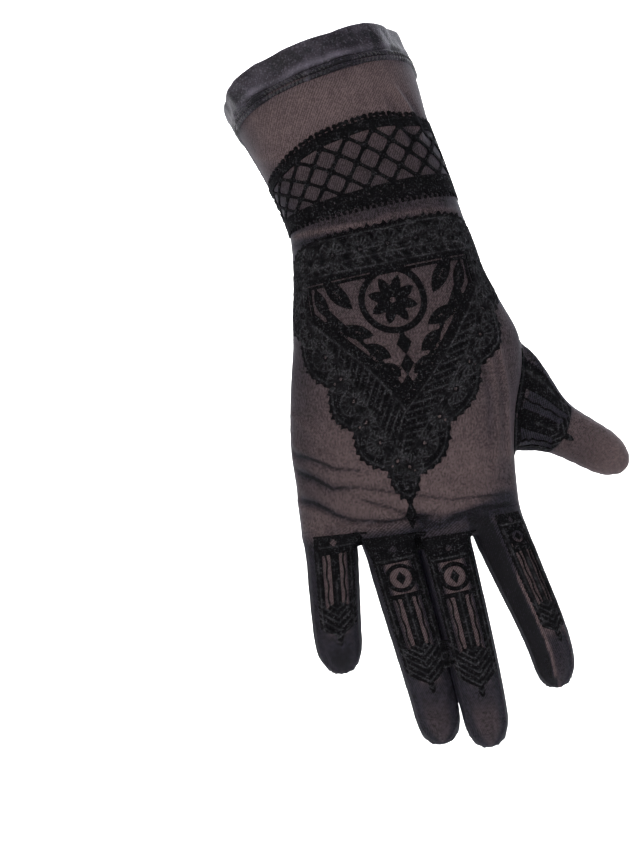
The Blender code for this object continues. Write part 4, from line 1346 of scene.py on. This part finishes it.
def ring_of_leaves(x, y, centre, count, away, length, breadth, start=0.0):
    leaves = []
    for k in range(count):
        turn = 2 * math.pi * k / count + start
        place = (centre[0] + away * math.cos(turn), centre[1] + away * math.sin(turn))
        leaves.append(leaf(x, y, place, turn, length, breadth))
    return whole(*leaves)


def inside_field(x, y):
    """How far inside the panel's pointed field a place lies."""
    (wide, corner), foot, run = FIELD_CORNER, FIELD_FOOT, math.hypot(FIELD_CORNER[0], FIELD_CORNER[1] - FIELD_FOOT)
    slant = ((wide - np.abs(x)) * (corner - foot) - (corner - y) * wide) / run
    return np.minimum.reduce([FIELD_TOP - y, wide - np.abs(x), slant])


def lace_border(along, depth, scallop, field):
    """The panel's border: toothed scallops with pinholes in them."""
    lobe = EDGE_LENGTH / PANEL_SCALLOPS
    saw = 1 - 2 * np.abs(repeated(along / lobe * 7, 1.0))
    uneven = 0.62 + 0.38 * np.cos(2 * math.pi * along / lobe * 3 + 1.0)
    solid = np.minimum(depth + scallop + (1.9 * saw - 0.8) * uneven, 0.4 - field)
    heart = lozenge(repeated(along, lobe / 2), depth - FAN_FOOT, (0, 0), 0.70, 1.05)
    corner = disc(np.abs(repeated(along, lobe)) - lobe / 2, depth - 4.4, 0.55)
    return cut(solid, heart, corner)


def lace_field(x, y, field):
    """Inside the border: a rosette in a hoop, broad leaves beside it, and a chain of lozenges between leaves."""
    side = np.abs(x)
    centre = (0, 2.6)
    rosette = ring_of_leaves(x, y, centre, 8, 5.2, 7.6, 3.7, math.pi / 8)
    core = cut(disc(x, y - centre[1], 2.6), disc(x, y - centre[1], 1.0))
    hoop = 1.15 - np.abs(np.hypot(x, y - centre[1]) - 11.2)
    leaves = [
        cut(leaf(side, y, place, turn, size, breadth), leaf(side, y, place, turn, size * 0.6, breadth * 0.16))
        for place, turn, size, breadth in (
            ((19.3, 8.4), 0.95, 15.0, 5.6), ((26.0, 6.4), 1.30, 11.5, 4.4), ((15.8, -6.2), 0.40, 12.5, 5.2),
            ((22.6, -1.6), 0.95, 9.0, 3.8), ((9.8, -14.6), 0.65, 10.5, 4.8), ((5.2, -22.4), 0.80, 8.0, 3.8),
        )
    ]
    stem = bar(side, y, (24.0, 3.4), (2.6, -28.5), 1.2)
    stones = [lozenge(x, y, (0, low), size * 0.66, size) for low, size in ((-13.6, 4.2), (-21.4, 3.8), (-28.2, 3.2))]
    rail = 0.55 - np.abs(field - 1.5)
    return np.minimum(whole(rosette, core, hoop, stem, rail, *leaves, *stones), field + 0.4)


def panel_pattern(x, y):
    """A lace shield with a lozenge hung under its point."""
    along, depth, scallop = beside_edge(x, y)
    field = inside_field(x, y)
    foot = -PANEL_HEIGHT * (1 - PANEL_HEART)
    drop = whole(lozenge(x, y, (0, foot - 7.2), 2.3, 4.8), disc(x, y - foot + 2.0, 1.0))
    return whole(lace_border(along, depth, scallop, field), lace_field(x, y, field), drop)


def panel_veins(x, y):
    """The distance from the lines pressed into the panel's pile: fans in the scallops, feathers and outlines."""
    along, depth, scallop = beside_edge(x, y)
    field = inside_field(x, y)
    lobe = EDGE_LENGTH / PANEL_SCALLOPS
    a, up = repeated(along, lobe / 2), FAN_FOOT - depth
    reach = np.hypot(a, up)
    rays = np.abs(repeated(np.arctan2(a, up), 0.40)) * reach + np.abs(np.clip(reach, 1.6, 4.4) - reach)
    arcs = np.abs(reach - 5.0) + np.clip(-up, 0, None)
    lower = np.clip(10.4 - depth, 0, None) + np.clip(2.4 + field, 0, None)
    feathers = np.abs(repeated(along + 0.9 * depth, 3.6)) * 0.74 + lower
    rails = np.minimum(np.abs(field + 1.8), np.abs(depth - 9.8) + np.clip(field + 1.8, 0, None))
    outline = np.abs(depth + scallop - 1.5)
    return np.minimum.reduce([rays, arcs, feathers, rails, outline])


def on_panel(x, y, proud):
    return on_hand(x, PANEL_CENTRE_DROP * MM - y, proud)


class GLOVE_OT_back_panel(bpy.types.Operator):
    """Makes the flocked lace panel on the back of the hand"""

    bl_idname = "glove.back_panel"
    bl_label = "Back panel"

    def execute(self, context):
        low = (-PANEL_WIDTH / 2 - 4, -PANEL_HEIGHT * (1 - PANEL_HEART) - 13)
        high = (PANEL_WIDTH / 2 + 4, PANEL_HEIGHT * PANEL_HEART + 2)
        tree = cloth_tree()
        flocked_piece("back_lace", panel_pattern, low, high, on_panel, context, tree, "back_panel", None, panel_veins)
        return {"FINISHED"}


def strip_pattern(half, length, block, chevrons, ring, foot):
    """The strip on a finger: a block, perhaps a window with a ring in it, two pairs of slots, and a pointed foot."""
    window = block + 1.45 * half if ring else block
    slots = length - 3.7 * chevrons - 2.0
    pane, slot = half - 1.9, (half - 0.6) / 2

    def pattern(x, y):
        side = np.abs(x)
        edge = half - 0.3 - side + 0.45 * np.abs(np.cos(math.pi * y / 1.8))
        solid = np.minimum.reduce([edge, y, (length - y - foot * side) * 0.85])
        opening = np.minimum(pane - side, np.minimum(y - block, window - y))
        middle = (block + window) / 2
        hoop = 0.75 - np.abs(np.hypot(x, y - middle) - 0.56 * half)
        emblem = whole(hoop, lozenge(x, y, (0, middle), 0.20 * half, 0.32 * half), 0.35 - np.abs(side - pane + 0.8))
        slits = np.minimum(0.21 * half - np.abs(side - slot + 0.3), np.minimum(y - window - 1.6, slots - y + side * 0.5))
        slits = cut(slits, 0.27 - np.abs(side - slot + 0.3 + 0.22 * np.sin(y / 1.3)))
        stone = lozenge(x, y, (0, block * 0.5), 1.2, 1.7)
        tip = leaf(x, y, (0, length + 0.8), math.pi / 2, 6.0, 2.4)
        return whole(cut(solid, cut(opening, emblem), slits, stone), tip)

    return pattern


def strip_veins(half, length, block, chevrons):
    """The distance from the lines pressed into a strip's pile: its rails, its middle line and its chevrons."""
    slots = length - 3.7 * chevrons - 2.0

    def veins(x, y):
        side = np.abs(x)
        rails = np.abs(side - half + 1.3) + np.clip(block - y, 0, None)
        middle = side + np.clip(block + 12.0 - y, 0, None) + np.clip(y - slots, 0, None)
        rows = np.abs(repeated(y + 0.85 * side - slots, 2.6)) * 0.76 + np.clip(slots + 1.0 - y - 0.4 * side, 0, None)
        band = np.abs(y - block + 1.4) + np.clip(side - half + 1.3, 0, None)
        return np.minimum.reduce([rails, middle, rows, band])

    return veins


FINGER_STRIPS = {
    # half width, length, length of the block, chevrons, ring, slope of the foot, start below the knuckles,
    # shift to the thumb's side
    "little": (6.8, 38.0, 5.5, 3, False, 0.62, 2.2, 0.8),
    "ring": (8.2, 58.0, 10.5, 4, True, 0.62, 4.5, 0.4),
    "middle": (8.2, 59.0, 10.0, 4, True, 0.62, 6.5, 0.4),
    "index": (5.4, 48.0, 5.6, 3, True, 0.62, 1.4, 4.9),
}
THUMB_STRIP = (12.0, 33.0, 3.5, 1, False, 0.16, -2.0, 2.6)
STRIP_STEP = 0.00036  # faces of the strips, finer than the panel's


class GLOVE_OT_finger_strips(bpy.types.Operator):
    """Makes the flocked strips on the backs of the fingers and the thumb"""

    bl_idname = "glove.finger_strips"
    bl_label = "Finger strips"

    def execute(self, context):
        tree = cloth_tree()
        for name, (half, length, block, chevrons, ring, foot, start, shift) in FINGER_STRIPS.items():
            full, wide, deep = (size / MM for size in FINGER_TABLE[name][:3])
            radius = (wide + deep) / 4

            def place(x, y, proud, name=name, start=start, full=full, radius=radius, shift=shift):
                turn = -math.pi / 2 + (x / MM + shift) / radius
                return on_finger(name, turn, (y / MM + start) / full, proud)

            pattern = strip_pattern(half, length, block, chevrons, ring, foot)
            low, high = (-half - 0.5, -0.5), (half + 0.5, length + 4)
            veins = strip_veins(half, length, block, chevrons)
            flocked_piece(name + "_strip", pattern, low, high, place, context, tree, name + "_trim", STRIP_STEP, veins)
        half, length, block, chevrons, ring, foot, start, shift = THUMB_STRIP
        radius = (THUMB_WIDTH + THUMB_DEPTH) / 4

        def on_back(x, y, proud):
            return on_thumb(-2.0 + (x + shift * MM) / radius, (y + start * MM) / THUMB_LENGTH, proud)

        pattern = strip_pattern(half, length, block, chevrons, ring, foot)
        low, high = (-half - 0.5, -0.5), (half + 0.5, length + 4)
        veins = strip_veins(half, length, block, chevrons)
        flocked_piece("thumb_strip", pattern, low, high, on_back, context, tree, "thumb_trim", STRIP_STEP, veins)
        return {"FINISHED"}


# The photograph's viewpoint
CAMERA_PLACE = (-0.0254, -0.9220, -0.1290)
CAMERA_ROLL = math.radians(11.9)
CAMERA_LENS, FILM = 103.1, 36.0
FLOOR = -0.335
ROOM, ROOM_HEIGHT, ROOM_BEND = 2.6, 3.0, 0.9
LIGHTS = (
    # name, place, aim, size, power, colour
    ("key", (-0.60, -1.15, 0.55), (0.0, 0.0, -0.11), 0.60, 8.5, (1.0, 0.96, 0.93)),
    ("fill", (1.00, -0.75, 0.10), (0.0, 0.0, -0.13), 0.80, 1.6, (0.86, 0.90, 1.0)),
    ("edge", (0.85, 0.75, 0.35), (0.0, 0.0, -0.10), 0.60, 4.0, (0.84, 0.88, 1.0)),
    ("far", (0.0, 1.15, 1.35), (0.0, 2.6, -0.2), 1.40, 105.0, (1.0, 1.0, 1.0)),
)


class GLOVE_OT_stage(bpy.types.Operator):
    """Makes the pale room, the lights and the camera"""

    bl_idname = "glove.stage"
    bl_label = "Stage"

    def execute(self, context):
        scene = context.scene
        room = bmesh.new()
        bmesh.ops.create_cone(
            room, cap_ends=True, cap_tris=False, segments=96, radius1=ROOM, radius2=ROOM, depth=ROOM_HEIGHT
        )
        bmesh.ops.translate(room, verts=room.verts, vec=(0, 0, FLOOR + ROOM_HEIGHT / 2))
        bmesh.ops.delete(room, geom=[f for f in room.faces if f.normal.z > 0.9], context="FACES")
        foot = [edge for edge in room.edges if all(vert.co.z < FLOOR + 0.01 for vert in edge.verts)]
        bmesh.ops.bevel(
            room, geom=foot, offset=ROOM_BEND, segments=12, profile=0.5, affect="EDGES", material=-1
        )
        bmesh.ops.reverse_faces(room, faces=room.faces)
        mesh = bpy.data.meshes.new("room")
        room.to_mesh(mesh)
        room.free()
        mesh.materials.append(pale_floor("pale_floor"))
        mesh.shade_smooth()
        ground = bpy.data.objects.new("floor", mesh)
        scene.collection.objects.link(ground)
        for name, place, aim, size, power, colour in LIGHTS:
            lamp = bpy.data.lights.new(name, "AREA")
            lamp.shape, lamp.size, lamp.energy, lamp.color = "DISK", size, power, colour
            light = bpy.data.objects.new(name, lamp)
            light.location = place
            light.rotation_euler = (Vector(aim) - Vector(place)).to_track_quat("-Z", "Y").to_euler()
            scene.collection.objects.link(light)
        sky = bpy.data.worlds.new("studio")
        sky.use_nodes = True
        sky.node_tree.nodes["Background"].inputs["Color"].default_value = (0.95, 0.97, 1.0, 1)
        sky.node_tree.nodes["Background"].inputs["Strength"].default_value = 0.28
        scene.world = sky
        scene.view_settings.view_transform = "Standard"
        seen = bpy.data.cameras.new("camera")
        seen.lens, seen.sensor_width, seen.sensor_fit = CAMERA_LENS, FILM, "AUTO"
        camera = bpy.data.objects.new("camera", seen)
        right = Vector((math.cos(CAMERA_ROLL), 0, -math.sin(CAMERA_ROLL)))
        up = Vector((math.sin(CAMERA_ROLL), 0, math.cos(CAMERA_ROLL)))
        turned = Matrix((right, up, right.cross(up))).transposed().to_4x4()
        camera.matrix_world = Matrix.Translation(CAMERA_PLACE) @ turned
        scene.collection.objects.link(camera)
        scene.camera = camera
        return {"FINISHED"}


class GLOVE_PT_panel(bpy.types.Panel):
    """The glove's pieces in the sidebar"""

    bl_label = "Mesh glove"
    bl_space_type = "VIEW_3D"
    bl_region_type = "UI"
    bl_category = "Glove"

    def draw(self, context):
        for operator in OPERATORS:
            self.layout.operator(operator.bl_idname)
        for group in (context.scene.glove_sizes, context.scene.glove_colours):
            for name in group.bl_rna.properties.keys():
                if name not in ("rna_type", "name"):
                    self.layout.prop(group, name)


OPERATORS = (
    GLOVE_OT_cuff_hem,
    GLOVE_OT_mesh_cloth,
    GLOVE_OT_wrist_band,
    GLOVE_OT_back_panel,
    GLOVE_OT_finger_strips,
    GLOVE_OT_stage,
)
CLASSES = (GloveSizes, GloveColours, *OPERATORS, GLOVE_PT_panel)


def register():
    for made in CLASSES:
        bpy.utils.register_class(made)
    bpy.types.Scene.glove_sizes = bpy.props.PointerProperty(type=GloveSizes)
    bpy.types.Scene.glove_colours = bpy.props.PointerProperty(type=GloveColours)


def unregister():
    del bpy.types.Scene.glove_colours
    del bpy.types.Scene.glove_sizes
    for made in reversed(CLASSES):
        bpy.utils.unregister_class(made)


def main():
    register()
    bpy.ops.glove.cuff_hem()
    bpy.ops.glove.mesh_cloth()
    bpy.ops.glove.wrist_band()
    bpy.ops.glove.back_panel()
    bpy.ops.glove.finger_strips()
    bpy.ops.glove.stage()


if __name__ == "__main__":
    main()
